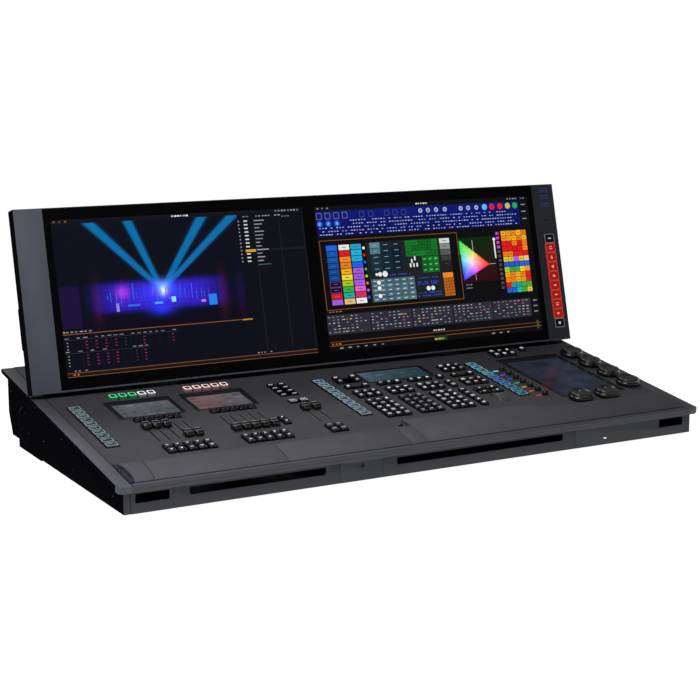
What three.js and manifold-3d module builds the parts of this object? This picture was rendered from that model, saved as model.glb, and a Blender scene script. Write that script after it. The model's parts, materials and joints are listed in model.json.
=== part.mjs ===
// A stage lighting control desk: a low wedge-shaped base with a sloping control deck, two front drawers,
// and a wide tilting wing that carries two displays on a pair of hinge arms.
//
// Millimetres. X runs to the operator's right, Y away from the operator, Z up. The origin is under the
// middle of the desk, on the surface that it stands on.
import * as THREE from "three";
import { mergeVertices } from "three/addons/utils/BufferGeometryUtils.js";
import Module from "manifold-3d";

const wasm = await Module();
wasm.setup();

// ---------------------------------------------------------------- driving dimensions

const bodyWidth = 1193; // over the two cheeks
const bodyDepth = 615; // fascia to rear face
const plateOverhang = 12.5; // of the deck's edge past the cheeks and the fascia
const deckSlope = THREE.MathUtils.degToRad(8.3);
const deckFrontHeight = 50; // deck's front edge above the underside of the fascia
const deckLength = 440; // control surface, measured up the slope
const wellLength = 92; // open trough behind the control surface, in which the hinge arms stand
const wellDepth = 44;
const deckThickness = 3;
const cheekThickness = 13;
const footDrop = 3; // feet below the underside of the fascia
const sheetThickness = 2.5; // folded metal covers
const gap = 0.3; // between pieces that touch

const wingWidth = 1220.5;
const wingHeight = 345;
const wingThickness = 29;
const wingTilt = THREE.MathUtils.degToRad(13.6); // its top leans back from upright
const wingFoot = [415.5, 124]; // lower front edge, [behind, above] the fascia's lower edge
const wingPivot = [44, 125]; // hinge line in the wing, [into, up] from that edge
const armOffset = 330; // hinge arms from the desk's middle

const columnPitch = 19; // keys and faders stand on this grid
const stripKeyPitch = 20.8;
const stripKeyCount = 10;
const faderTravel = 60;

// ---------------------------------------------------------------- colours

const paint = (color, roughness, metalness = 0) =>
  new THREE.MeshStandardMaterial({ color, roughness, metalness });
const deckPaint = paint(0x3c3c3e, 0.75, 0.2);
const casePaint = paint(0x2a2b30, 0.55, 0.4);
const trimPaint = paint(0x4a4d58, 0.45, 0.5);
const restPlastic = paint(0x454548, 0.7);
const blackPlastic = paint(0x101011, 0.5);
const keyPlastic = paint(0x1a1a1c, 0.45);
const litPlastic = paint(0x2f6f66, 0.4);
const redPlastic = paint(0xa02020, 0.4);
const screenGlass = paint(0x08090c, 0.08);
const steel = paint(0x8a8c90, 0.35, 0.9);
const boardGreen = paint(0x1d4a2c, 0.6);

// ---------------------------------------------------------------- solids

// A three.js geometry as a manifold-3d solid.
function solidOf(geometry) {
  const bare = geometry.index ? geometry.toNonIndexed() : geometry.clone();
  bare.deleteAttribute("normal");
  bare.deleteAttribute("uv");
  const merged = mergeVertices(bare, 1e-4);
  return new wasm.Manifold(
    new wasm.Mesh({
      numProp: 3,
      vertProperties: merged.attributes.position.array,
      triVerts: new Uint32Array(merged.index.array),
    }),
  );
}

// A manifold-3d solid as a three.js geometry.
function geometryOf(solid) {
  const { numProp, vertProperties, triVerts } = solid.getMesh();
  const count = vertProperties.length / numProp;
  const positions = new Float32Array(count * 3);
  for (let i = 0; i < count; i += 1) {
    positions.set(vertProperties.subarray(i * numProp, i * numProp + 3), i * 3);
  }
  const geometry = new THREE.BufferGeometry();
  geometry.setAttribute("position", new THREE.BufferAttribute(positions, 3));
  geometry.setIndex(new THREE.BufferAttribute(triVerts, 1));
  geometry.computeVertexNormals();
  return geometry;
}

// A box between two planes on each axis.
function block([x0, x1], [y0, y1], [z0, z1]) {
  const geometry = new THREE.BoxGeometry(x1 - x0, y1 - y0, z1 - z0);
  geometry.translate((x0 + x1) / 2, (y0 + y1) / 2, (z0 + z1) / 2);
  return solidOf(geometry);
}

const axes = {
  x: new THREE.Vector3(1, 0, 0),
  y: new THREE.Vector3(0, 1, 0),
  z: new THREE.Vector3(0, 0, 1),
};

// An outline drawn in the plane of two axes, such as "xy", made solid between two planes across them.
function prism(plane, points, [low, high], holes = []) {
  const toVectors = (list) => list.map(([u, v]) => new THREE.Vector2(u, v));
  const shape = new THREE.Shape(toVectors(points));
  shape.holes = holes.map((hole) => new THREE.Path(toVectors(hole)));
  const geometry = new THREE.ExtrudeGeometry(shape, {
    depth: high - low,
    bevelEnabled: false,
  });
  const [across, up] = [...plane].map((name) => axes[name]);
  const outward = across.clone().cross(up);
  const facesAlongAxis = outward.x + outward.y + outward.z > 0;
  geometry.translate(0, 0, facesAlongAxis ? low : -high);
  geometry.applyMatrix4(new THREE.Matrix4().makeBasis(across, up, outward));
  return solidOf(geometry);
}

// A body turned about Z from [radius, z] points that start and end on the axis.
function turned(points, segments) {
  const profile = points.map(([radius, z]) => new THREE.Vector2(radius, z));
  const geometry = new THREE.LatheGeometry(profile, segments);
  geometry.rotateX(Math.PI / 2);
  return solidOf(geometry);
}

// A round bar along X or Y, centred on the two other coordinates.
function bar(axis, [low, high], [u, v], radius, segments = 24) {
  const geometry = new THREE.CylinderGeometry(radius, radius, high - low, segments);
  const middle = (low + high) / 2;
  if (axis === "x") {
    geometry.rotateZ(-Math.PI / 2);
    geometry.translate(middle, u, v);
  } else {
    geometry.translate(u, middle, v);
  }
  return solidOf(geometry);
}

// A hole's outline, for a prism.
function circle([x, y], radius, count = 16) {
  const step = (2 * Math.PI) / count;
  return Array.from({ length: count }, (_, i) => [
    x + radius * Math.cos(i * step),
    y + radius * Math.sin(i * step),
  ]);
}

const rectangle = ([x0, x1], [y0, y1]) => [
  [x0, y0],
  [x1, y0],
  [x1, y1],
  [x0, y1],
];

const joined = (solids) => solids.reduce((whole, next) => whole.add(next));

const widened = ([low, high], margin) => [low - margin, high + margin];

// A sheet that follows a [y, z] path along X, on the left of the way that it is drawn.
function foldedSheet(points, thickness, span) {
  const path = points.map(([y, z]) => new THREE.Vector2(y, z));
  const normals = path.slice(1).map((end, i) => {
    const way = end.clone().sub(path[i]).normalize();
    return new THREE.Vector2(-way.y, way.x);
  });
  const inner = path.map((point, i) => {
    const before = normals[Math.max(i - 1, 0)];
    const after = normals[Math.min(i, normals.length - 1)];
    const mitre = before.clone().add(after);
    return point
      .clone()
      .addScaledVector(mitre, (2 * thickness) / mitre.lengthSq());
  });
  const outline = [...path, ...inner.reverse()].map(({ x, y }) => [x, y]);
  return prism("yz", outline, span);
}

// ---------------------------------------------------------------- frames

const desk = new THREE.Group();

// The base is laid out from the fascia's lower front edge, in the middle of the desk.
const base = new THREE.Group();
base.position.set(0, plateOverhang - (bodyDepth + plateOverhang) / 2, footDrop);
desk.add(base);

// The deck: X across, Y up the slope from the front edge, Z square to the surface.
const deck = new THREE.Group();
deck.position.set(0, -plateOverhang, deckFrontHeight);
deck.rotation.x = deckSlope;
base.add(deck);

// The wing: X across, Y into its thickness from the front, Z up its height.
const wing = new THREE.Group();
wing.position.set(0, ...wingFoot);
wing.rotation.x = -wingTilt;
base.add(wing);

function place(group, name, solid, material, position = [0, 0, 0]) {
  const mesh = new THREE.Mesh(geometryOf(solid), material);
  mesh.name = name;
  mesh.position.set(...position);
  group.add(mesh);
}

// Places across the desk are given from the outside of the left cheek.
const fromLeft = (distance) => distance - bodyWidth / 2;
const span = (near, far) => [fromLeft(near), fromLeft(far)];

// Height of the deck's surface at a distance behind the fascia.
const deckHeightAt = (y) =>
  deckFrontHeight + (y + plateOverhang) * Math.tan(deckSlope);

// [y, z] in the base's frame of a point on the deck, at a length up the slope.
const upSlope = (length) => [
  length * Math.cos(deckSlope) - plateOverhang,
  deckFrontHeight + length * Math.sin(deckSlope),
];

// ---------------------------------------------------------------- covers

const innerSpan = span(cheekThickness + gap, bodyWidth - cheekThickness - gap);
const trimThickness = 12;
const trimLength =
  (bodyDepth + plateOverhang - trimThickness * Math.sin(deckSlope)) /
  Math.cos(deckSlope);
const rearFeetY = [424, 554];
const rearUndersideZ = 12.5; // the underside steps up behind the rear feet
const rearBevel = [594, 55]; // [depth at the foot, height] of the leaning foot of the rear face
const fasciaThickness = 3;
const fasciaHeight = 35.2;
const railHeight = 37.5; // top of the fascia's rail, which runs over the drawers
const wellFront = upSlope(deckLength + 2 * gap + sheetThickness);
const wellRear = upSlope(deckLength + wellLength);
const wellFloorZ = wellFront[1] - wellDepth;

// Side of the base, with a round recessed port near the rear.
function cheek(side) {
  const outer = (side * bodyWidth) / 2;
  const inner = outer - side * cheekThickness;
  const underTrim = (y) =>
    deckHeightAt(y) - (trimThickness + gap) / Math.cos(deckSlope);
  const outline = [
    [0, 0],
    [rearFeetY[0] - 12, 0],
    [rearFeetY[0], -footDrop],
    [rearFeetY[1], -footDrop],
    [rearFeetY[1], rearUndersideZ],
    [rearBevel[0], rearUndersideZ],
    [bodyDepth, rearBevel[1]],
    [bodyDepth, underTrim(bodyDepth)],
    [0, underTrim(0)],
  ];
  const portCentre = [516, 47];
  const portRadius = 35;
  const portDepth = 4;
  const port = bar("x", widened([outer, outer], portDepth), portCentre, portRadius, 40);
  return prism("yz", outline, [outer, inner].sort((a, b) => a - b)).subtract(port);
}

// Floor of the base, folded down into two long feet.
function bottomTray() {
  const frontY = fasciaThickness + 1;
  const frontFeetY = [30, 70];
  const rearY = rearBevel[0] - 4;
  const outline = [
    [frontY, 0],
    [frontFeetY[0], 0],
    [frontFeetY[0], -footDrop],
    [frontFeetY[1], -footDrop],
    [frontFeetY[1], 0],
    [rearFeetY[0], 0],
    [rearFeetY[0], -footDrop],
    [rearFeetY[1], -footDrop],
    [rearFeetY[1], rearUndersideZ],
    [rearY, rearUndersideZ],
    [rearY, rearUndersideZ + sheetThickness],
    [rearFeetY[1] - sheetThickness, rearUndersideZ + sheetThickness],
    [rearFeetY[1] - sheetThickness, sheetThickness],
    [frontY, sheetThickness],
  ];
  return prism("yz", outline, innerSpan);
}

// One folded cover: the trough behind the deck, the rear of the top, and the rear face.
function rearHousing() {
  const path = [
    [rearBevel[0], rearUndersideZ],
    [bodyDepth, rearBevel[1]],
    [bodyDepth, deckHeightAt(bodyDepth)],
    wellRear,
    [wellRear[0], wellFloorZ],
    [wellFront[0], wellFloorZ],
    wellFront,
  ];
  return foldedSheet(path, sheetThickness, innerSpan);
}

// Overhanging edge of the top, full length.
function deckTrim(side) {
  const inner = side * (bodyWidth / 2 - cheekThickness);
  const outer = side * (bodyWidth / 2 + plateOverhang);
  const corner = 4;
  const outline = [
    [inner, 0],
    [inner, -trimThickness],
    [outer - side * corner, -trimThickness],
    [outer, corner - trimThickness],
    [outer, 0],
  ];
  return prism("xz", outline, [plateOverhang + 1, trimLength]);
}

// Two-step bead along the front edge, over the fascia.
function frontLip() {
  const outline = [
    [-plateOverhang, 46.5],
    [-plateOverhang, 50.6],
    [-plateOverhang + 1.8, 52.3],
    [-4.5, 53],
    [-4.5, 49.6],
    [-gap, 49.6],
    [-gap, railHeight + 0.5],
    [-9.4, railHeight + 0.5],
    [-10.4, railHeight + 1.5],
    [-10.4, 46.5],
  ];
  return prism("yz", outline, widened(span(0, bodyWidth), plateOverhang));
}

// Each drawer's bay in the fascia, and the long slot in its front that is its finger pull.
const drawers = {
  drawer_left: { bay: [88, 402], slot: [117, 374] },
  drawer_right: { bay: [489, 912], slot: [517, 882] },
};

function frontFascia() {
  const { drawer_left: left, drawer_right: right } = drawers;
  const thickness = [0, fasciaThickness];
  const panels = [
    [innerSpan[0], fromLeft(left.bay[0])],
    span(left.bay[1], right.bay[0]),
    [fromLeft(right.bay[1]), innerSpan[1]],
  ].map((across) => block(across, thickness, [0, railHeight]));
  const rail = block(innerSpan, thickness, [fasciaHeight + gap, railHeight]);
  const through = widened(thickness, 1);
  const ventWidth = 60;
  const vents = [21, 1115].map((near) =>
    block(span(near, near + ventWidth), through, [17.5, 33.5]),
  );
  const socket = bar("y", through, [fromLeft(445.5), 27.7], 4.5);
  return joined([...panels, rail]).subtract(joined([...vents, socket]));
}

function drawer({ bay, slot }) {
  const wall = 2;
  const length = 232;
  const sideInset = 3;
  const front = widened(span(...bay), -gap);
  const tray = widened(front, -sideInset);
  const floorZ = sheetThickness + 1;
  const outside = block(tray, [0, length], [floorZ, fasciaHeight - 1]);
  const inside = block(
    widened(tray, -wall),
    [fasciaThickness, length - wall],
    [floorZ + wall, fasciaHeight + 1],
  );
  const face = block(front, [0, fasciaThickness], [0, fasciaHeight]);
  const corner = 3;
  const [slotLow, slotHigh] = [19.5, 32.5];
  const [x0, x1] = span(...slot);
  const slotOutline = [
    [x0, slotHigh],
    [x0, slotLow + corner],
    [x0 + corner, slotLow],
    [x1 - corner, slotLow],
    [x1, slotLow + corner],
    [x1, slotHigh],
  ];
  const pull = prism("xz", slotOutline, [-1, fasciaThickness + 1]);
  return outside.subtract(inside).add(face).subtract(pull);
}

// ---------------------------------------------------------------- controls: where they stand on the deck

const columnsFrom = (first, count = 5) =>
  Array.from({ length: count }, (_, i) => first + i * columnPitch);

const moduleColumn = { a: 131, b: 281 }; // first fader of each playback module
const faderSlot = [173, 253];
const faderLow = 183;
const faderHigh = faderLow + faderTravel;

// A block of keys fills one opening in the deck: its columns, its rows, and [width, length, height] of a key.
const keyBlocks = {
  module_a_keys: moduleBlocks(moduleColumn.a),
  module_b_keys: [
    ...moduleBlocks(moduleColumn.b),
    { columns: [384], rows: [186, 205], key: [14.5, 15.5, 5] },
  ],
  playback_keys: [
    { columns: [445, 468], rows: [321, 340.3, 359.6, 379], key: [16.5, 9, 3] },
    { columns: [445, 468], rows: [283], key: [16.5, 14, 4] },
    { columns: [449, 468], rows: [121.5, 142], key: [15, 16, 5] },
  ],
  keypad_keys: [
    ...keypadBlocks([586, 605, 624], [586, 624]),
    ...keypadBlocks([659, 678, 697], [659, 678, 697]),
    ...keypadBlocks([730, 749, 768], [730, 749, 768]),
    ...keypadBlocks([797], [797]),
    { columns: [586, 624], rows: [354, 374], key: [14.5, 14, 5] },
    { columns: [832, 851, 870], rows: [268, 287], key: [14.5, 14.5, 5] },
    { columns: [832, 870], rows: [321], key: [14.5, 14, 5] },
    { columns: [832, 851, 870], rows: [354, 374], key: [14.5, 14, 5] },
    { columns: [836, 866], rows: [214, 233], key: [27, 11, 4] },
  ],
  shortcut_keys: [
    { columns: [992, 1012, 1032], rows: [404, 424.5], key: [14.5, 15, 6] },
    { columns: [1070], rows: [424.5], key: [14.5, 15, 6] },
  ],
};

function moduleBlocks(first) {
  const columns = columnsFrom(first);
  return [
    { columns, rows: [406.5], key: [14.5, 18, 5] },
    { columns, rows: [280], key: [15, 14.5, 4] },
    { columns, rows: [121.5, 142], key: [15, 16, 5] },
  ];
}

function keypadBlocks(columns, upperColumns) {
  return [
    {
      columns,
      rows: [157, 176.7, 196.4, 216.1, 235.8],
      key: [14.5, 15, 5],
    },
    { columns, rows: [268, 287], key: [14.5, 14.5, 5] },
    { columns: upperColumns, rows: [321], key: [14.5, 14, 5] },
  ];
}

// Flat bars under the deck that join each group's keys into one mat, as [x from, x to], [y from, y to].
const keyWebs = {
  module_a_keys: moduleWebs(moduleColumn.a),
  module_b_keys: [
    ...moduleWebs(moduleColumn.b),
    [[357, 391], [137, 147]],
    [[379, 389], [137, 209]],
  ],
  playback_keys: [
    [[434, 437.5], [118, 384]],
    [[434, 476], [118, 146]],
    [[434, 476], [279, 287]],
    [[434, 476], [318, 382]],
  ],
  keypad_keys: [
    [[580, 804], [151, 381]],
    [[803, 876], [209, 381]],
  ],
  shortcut_keys: [
    [[986, 1076], [420, 429]],
    [[986, 1038], [398, 429]],
  ],
};

function moduleWebs(first) {
  const across = [first - 12, first + 4 * columnPitch + 12];
  const rows = [
    [118, 146],
    [276, 284],
    [402, 411],
  ].map((along) => [across, along]);
  const rail = [[first - 12, first - 9], [118, 411]];
  return [...rows, rail];
}

const strips = { key_strip_1: 44.5, key_strip_2: 546, key_strip_3: 905 };
const stripStart = 172.5;
const stripWidth = 25;
const stripLength = stripKeyCount * stripKeyPitch;

const displays = {
  display_a: { x: [104, 232], y: [296, 386] },
  display_b: { x: [254, 382], y: [296, 386] },
  display_c: { x: [640, 796], y: [336, 400] },
  touchscreen: { x: [974, 1130], y: [138, 385] },
};

// Each fader's column, and where its cap stands at rest.
const faders = [
  ...columnsFrom(moduleColumn.a).map((x, i) => ({
    x,
    y: i < 3 ? faderHigh - 3 : faderLow,
  })),
  ...columnsFrom(moduleColumn.b).map((x) => ({ x, y: faderLow })),
  { x: 449, y: faderHigh - 3 },
  { x: 471, y: faderHigh - 3 },
];

const encoderPitch = 65;
const encoders = [
  ...Array.from({ length: 4 }, (_, i) => [1156, 361 - i * encoderPitch]),
  [1003, 122.5],
  [1067, 122.5],
];

const colourEncoderPitch = 25.7;
const colourEncoders = Array.from({ length: 7 }, (_, i) => [
  948,
  320 - i * colourEncoderPitch,
]);

const wheel = { x: 848, y: 178, z: -16, radius: 24, width: 19, axle: 2.5 };

// ---------------------------------------------------------------- controls: their shapes

const webZ = [-9, -7];
const displayZ = [-5.5, -0.4];
const keyClearance = 1;

// A key with slightly drawn-in sides, from the web up to its height.
function keyCap(x, y, [width, length, height]) {
  const low = webZ[0] + 1;
  const geometry = new THREE.BoxGeometry(width, length, height - low);
  const corners = geometry.attributes.position;
  const taper = 0.88;
  for (let i = 0; i < corners.count; i += 1) {
    if (corners.getZ(i) > 0) {
      corners.setXY(i, corners.getX(i) * taper, corners.getY(i) * taper);
    }
  }
  geometry.translate(fromLeft(x), y, (low + height) / 2);
  return solidOf(geometry);
}

const keysOf = ({ columns, rows, key }) =>
  rows.flatMap((y) => columns.map((x) => keyCap(x, y, key)));

function keyMat(blocks, webs) {
  const bars = webs.map(([across, along]) => block(span(...across), along, webZ));
  return joined([...bars, ...blocks.flatMap(keysOf)]);
}

// The opening in the deck that a block of keys stands in, as its spans across and up the deck.
function keyOpening({ columns, rows, key: [width, length] }) {
  const reach = (places, size) =>
    widened([Math.min(...places), Math.max(...places)], size / 2 + keyClearance);
  return [reach(columns.map(fromLeft), width), reach(rows, length)];
}

function keyStrip(centre) {
  const spacing = 1;
  const caps = Array.from({ length: stripKeyCount }, (_, i) =>
    keyCap(centre, stripStart + (i + 0.5) * stripKeyPitch, [
      stripWidth,
      stripKeyPitch - spacing,
      2.5,
    ]),
  );
  const across = widened([fromLeft(centre), fromLeft(centre)], 6);
  const web = block(across, [stripStart + 4, stripStart + stripLength - 4], webZ);
  return joined([web, ...caps]);
}

// Printed deck plate with every opening, and a pair of lugs that carry the level wheel's axle.
function deckPlate() {
  const through = [-deckThickness - 1, 1];
  const opening = (across, along) => block(across, along, through);
  const around = (x, margin) => widened([fromLeft(x), fromLeft(x)], margin);
  const slotHalf = 1.5;
  const shaftHole = 3.6;
  const openings = [
    ...Object.values(keyBlocks).flat().map(keyOpening).map(([x, y]) => opening(x, y)),
    ...Object.values(strips).map((x) =>
      opening(
        around(x, stripWidth / 2 + keyClearance),
        widened([stripStart, stripStart + stripLength], keyClearance),
      ),
    ),
    ...Object.values(displays).map(({ x, y }) => opening(span(...x), y)),
    ...faders.map(({ x }) => opening(around(x, slotHalf), faderSlot)),
    ...[...encoders, ...colourEncoders].map(([x, y]) =>
      prism("xy", circle([fromLeft(x), y], shaftHole), through),
    ),
    opening(
      around(wheel.x, wheel.width / 2 + 1.5),
      widened([wheel.y, wheel.y], wheel.radius - 1.5),
    ),
  ];
  const front = plateOverhang + 1;
  const plate = block(innerSpan, [front, deckLength], [-deckThickness, 0]);
  const lugs = [-1, 1].map((side) => {
    const near = fromLeft(wheel.x) + side * (wheel.width / 2 + 4);
    const lug = block(widened([near, near], 1.25), widened([wheel.y, wheel.y], 8), [
      wheel.z - 8,
      -deckThickness + gap,
    ]);
    const bore = bar("x", widened([near, near], 2), [wheel.y, wheel.z], wheel.axle + 0.3, 16);
    return lug.subtract(bore);
  });
  return plate.subtract(joined(openings)).add(joined(lugs));
}

// Low moulded hand rest across the front of the deck, drawn as [up the slope, height].
function palmRest(across, rearY) {
  const front = plateOverhang + 1;
  const outline = [
    [front, gap],
    [rearY, gap],
    [rearY, 3.2],
    [rearY - 5, 5],
    [rearY - 24, 5.4],
    [42, 4.2],
    [22, 2.8],
    [front, 1],
  ];
  return prism("yz", outline, span(...across));
}

// Fader cap with a dished top, on a blade that passes down through its slot.
function fader() {
  const width = 15;
  const outline = [
    [-10, 1],
    [-10, 7.5],
    [-7, 11],
    [-2, 8.8],
    [2, 8.8],
    [7, 11],
    [10, 7.5],
    [10, 1],
  ];
  const cap = prism("yz", outline, [-width / 2, width / 2]);
  const blade = block([-0.9, 0.9], [-3, 3], [-16, 2]);
  return cap.add(blade);
}

// Two-tier dial with a finger dimple, on a shaft through the deck.
function encoder() {
  const outline = [
    [0, -12],
    [3, -12],
    [3, 1.5],
    [24, 1.5],
    [24.8, 8],
    [22.4, 9.5],
    [22, 13.5],
    [20.6, 15],
    [0, 15],
  ];
  const dimple = new THREE.SphereGeometry(12, 14, 10).translate(0, 11, 24);
  return turned(outline, 28).subtract(solidOf(dimple));
}

function colourEncoder() {
  const outline = [
    [0, -10],
    [3, -10],
    [3, 1.2],
    [6.4, 1.2],
    [6, 8.6],
    [5.2, 9.5],
    [0, 9.5],
  ];
  return turned(outline, 16);
}

function levelWheel() {
  const middle = fromLeft(wheel.x);
  const rim = bar("x", widened([middle, middle], wheel.width / 2), [0, 0], wheel.radius, 32);
  const reach = wheel.width / 2 + 6;
  const axle = bar("x", widened([middle, middle], reach), [0, 0], wheel.axle, 16);
  return rim.add(axle);
}

// ---------------------------------------------------------------- hinge arms and the wing

const pivotInBase = [
  wingFoot[0] + wingPivot[1] * Math.sin(wingTilt) + wingPivot[0] * Math.cos(wingTilt),
  wingFoot[1] + wingPivot[1] * Math.cos(wingTilt) - wingPivot[0] * Math.sin(wingTilt),
];
const barrelRadius = 11;
const barrelHalf = 41.5; // along X
const pinRadius = 4;

// Arm that stands in the trough, with a barrel and a pin at its top.
function hingeArm() {
  const [pivotY, pivotZ] = pivotInBase;
  const [front, rear] = [474, wellRear[0] - 4];
  const foot = wellFloorZ + gap;
  const outline = [
    [front, foot],
    [rear, foot],
    [rear, foot + 8],
    [rear - 8, foot + 22],
    [pivotY + 8, pivotZ],
    [pivotY - 8, pivotZ],
    [front, foot + 60],
  ];
  const blade = prism("yz", outline, [-30, 30]);
  const barrel = bar("x", [-barrelHalf, barrelHalf], pivotInBase, barrelRadius, 28);
  const pin = bar("x", [-barrelHalf - 7.5, barrelHalf + 7.5], pivotInBase, pinRadius, 20);
  return joined([blade, barrel, pin]);
}

const glassX = [-554.8, 552.6];
const glassZ = [3.3, wingHeight - 1.2];
const screenSeam = -2.4; // between the two screens
const panelThickness = 3;
const wingKeyX = 585;
const wingKeyStart = 27;
const wingKeyOpening = {
  x: widened([wingKeyX, wingKeyX], stripWidth / 2 + keyClearance),
  z: widened([wingKeyStart, wingKeyStart + stripLength], keyClearance),
};

// Rear casing of the wing, with pockets for the screens, a spine along its back, and ears for the hinges.
function wingShell() {
  const half = wingWidth / 2;
  const casing = block([-half, half], [0, wingThickness], [0, wingHeight]);
  const spineProfile = [
    [wingThickness - 1, 78],
    [wingThickness + 15, 88],
    [wingThickness + 15, 162],
    [wingThickness - 1, 172],
  ];
  const spine = prism("yz", spineProfile, [-half + 3, half - 3]);
  const earProfile = [
    [wingThickness - 1, 104],
    [52, 112],
    [57, 120],
    [57, 130],
    [52, 138],
    [wingThickness - 1, 146],
  ];
  const earThickness = 8;
  const notchHalf = barrelHalf + 0.5;
  const sides = [-1, 1];
  const notches = sides.map((side) =>
    block(
      widened([side * armOffset, side * armOffset], notchHalf),
      [wingThickness, wingThickness + 40],
      [60, 190],
    ),
  );
  const ears = sides.flatMap((side) =>
    sides.map((end) => {
      const middle = side * armOffset + end * (notchHalf + earThickness / 2);
      return prism("yz", earProfile, widened([middle, middle], earThickness / 2));
    }),
  );
  const bores = sides.map((side) => {
    const across = widened(
      [side * armOffset, side * armOffset],
      notchHalf + earThickness + 1,
    );
    return bar("x", across, wingPivot, pinRadius + 0.4, 20);
  });
  const ledge = 12;
  const frontPocket = block(glassX, [-1, 6.6], glassZ);
  const inner = widened(glassZ, -ledge);
  const rearPockets = [
    [glassX[0] + ledge, screenSeam - 5],
    [screenSeam + 5, glassX[1] - ledge],
  ].map((across) => block(across, [5, wingThickness - sheetThickness], inner));
  const panelPocket = block(
    [glassX[1] + gap, half - 1.5],
    [-1, panelThickness + 2 * gap],
    [glassZ[0], glassZ[1]],
  );
  const keyPocket = block(
    widened(wingKeyOpening.x, 2),
    [-1, 11],
    widened(wingKeyOpening.z, 2),
  );
  return joined([casing, spine])
    .subtract(joined(notches))
    .add(joined(ears))
    .subtract(joined(bores))
    .subtract(joined([frontPocket, ...rearPockets, panelPocket, keyPocket]));
}

const screen = (across) =>
  block(widened(across, -gap), [gap, 6.3], widened(glassZ, -gap));

function wingKeyPanel() {
  const across = [glassX[1] + 2 * gap, wingWidth / 2 - 1.5 - gap];
  const up = widened(glassZ, -gap);
  const opening = rectangle(wingKeyOpening.x, wingKeyOpening.z);
  return prism("xz", rectangle(across, up), [gap, gap + panelThickness], [opening]);
}

function wingKeys() {
  const keys = Array.from({ length: stripKeyCount }, (_, i) => {
    const low = wingKeyStart + i * stripKeyPitch + 0.5;
    const across = widened([wingKeyX, wingKeyX], stripWidth / 2);
    return block(across, [-1.8, 6], [low, low + stripKeyPitch - 1]);
  });
  const web = block(
    widened([wingKeyX, wingKeyX], 6),
    [5, 7],
    [wingKeyStart + 4, wingKeyStart + stripLength - 4],
  );
  return joined([web, ...keys]);
}

// ---------------------------------------------------------------- inside the base

function powerSupply() {
  const ventCount = 6;
  const body = block([-420, -240], [440, 530], [sheetThickness + gap, 44]);
  const vents = Array.from({ length: ventCount }, (_, i) => {
    const near = -405 + i * 26;
    return block([near, near + 14], [436, 448], [14, 34]);
  });
  return body.subtract(joined(vents));
}

// Main board on stand-offs, with a finned heat sink.
function mainBoard() {
  const [x0, x1, y0, y1] = [-60, 260, 255, 415];
  const board = block([x0, x1], [y0, y1], [9, 11]);
  const posts = [x0 + 10, x1 - 10].flatMap((x) =>
    [y0 + 10, y1 - 10].map((y) =>
      block(widened([x, x], 4), widened([y, y], 4), [sheetThickness + gap, 10]),
    ),
  );
  const sink = block([60, 130], [300, 370], [10.5, 17]);
  const fins = Array.from({ length: 7 }, (_, i) => {
    const near = 61 + i * 11;
    return block([near, near + 3], [300, 370], [16, 36]);
  });
  return joined([board, ...posts, sink, ...fins]);
}

// ---------------------------------------------------------------- assembly

place(base, "bottom_tray", bottomTray(), casePaint);
place(base, "left_cheek", cheek(-1), casePaint);
place(base, "right_cheek", cheek(1), casePaint);
place(base, "rear_housing", rearHousing(), casePaint);
place(base, "front_lip", frontLip(), trimPaint);
place(base, "front_fascia", frontFascia(), casePaint);
for (const [name, sizes] of Object.entries(drawers)) {
  place(base, name, drawer(sizes), casePaint);
}
place(base, "power_supply", powerSupply(), steel);
place(base, "main_board", mainBoard(), boardGreen);

place(deck, "deck_trim_left", deckTrim(-1), trimPaint);
place(deck, "deck_trim_right", deckTrim(1), trimPaint);
place(deck, "deck_plate", deckPlate(), deckPaint);
place(deck, "palm_rest_left", palmRest([28, 562], 92), restPlastic);
const centreRest = palmRest([562.6, 884], 124);
const rightRest = palmRest([883, 1179], 96);
place(deck, "palm_rest_right", centreRest.add(rightRest), restPlastic);

for (const [name, { x, y }] of Object.entries(displays)) {
  const solid = block(widened(span(...x), -2 * gap), widened(y, -2 * gap), displayZ);
  place(deck, name, solid, screenGlass);
}
for (const [name, blocks] of Object.entries(keyBlocks)) {
  place(deck, name, keyMat(blocks, keyWebs[name]), keyPlastic);
}
for (const [name, centre] of Object.entries(strips)) {
  place(deck, name, keyStrip(centre), litPlastic);
}
faders.forEach(({ x, y }, i) => {
  place(deck, `fader_${i + 1}`, fader(), blackPlastic, [fromLeft(x), y, 0]);
});
encoders.forEach(([x, y], i) => {
  place(deck, `encoder_${i + 1}`, encoder(), blackPlastic, [fromLeft(x), y, 0]);
});
colourEncoders.forEach(([x, y], i) => {
  const at = [fromLeft(x), y, 0];
  place(deck, `colour_encoder_${i + 1}`, colourEncoder(), blackPlastic, at);
});
place(deck, "level_wheel", levelWheel(), steel, [0, wheel.y, wheel.z]);

place(base, "hinge_arm_left", hingeArm(), steel, [-armOffset, 0, 0]);
place(base, "hinge_arm_right", hingeArm(), steel, [armOffset, 0, 0]);
place(wing, "wing_shell", wingShell(), casePaint);
place(wing, "left_screen", screen([glassX[0], screenSeam]), screenGlass);
place(wing, "right_screen", screen([screenSeam, glassX[1]]), screenGlass);
place(wing, "wing_key_panel", wingKeyPanel(), blackPlastic);
place(wing, "wing_keys", wingKeys(), redPlastic);

export default desk;
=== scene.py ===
"""Looks of a stage lighting control desk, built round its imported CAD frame.

Two flat faces carry nearly everything that shows: the sloping deck and the front of the wing. Each has a
frame of its own in millimetres: X across from the outside of the left cheek, Y up the face, Z out of it.
"""

import json
import math
import random

import bmesh
import bpy
from mathutils import Matrix, Vector


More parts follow.
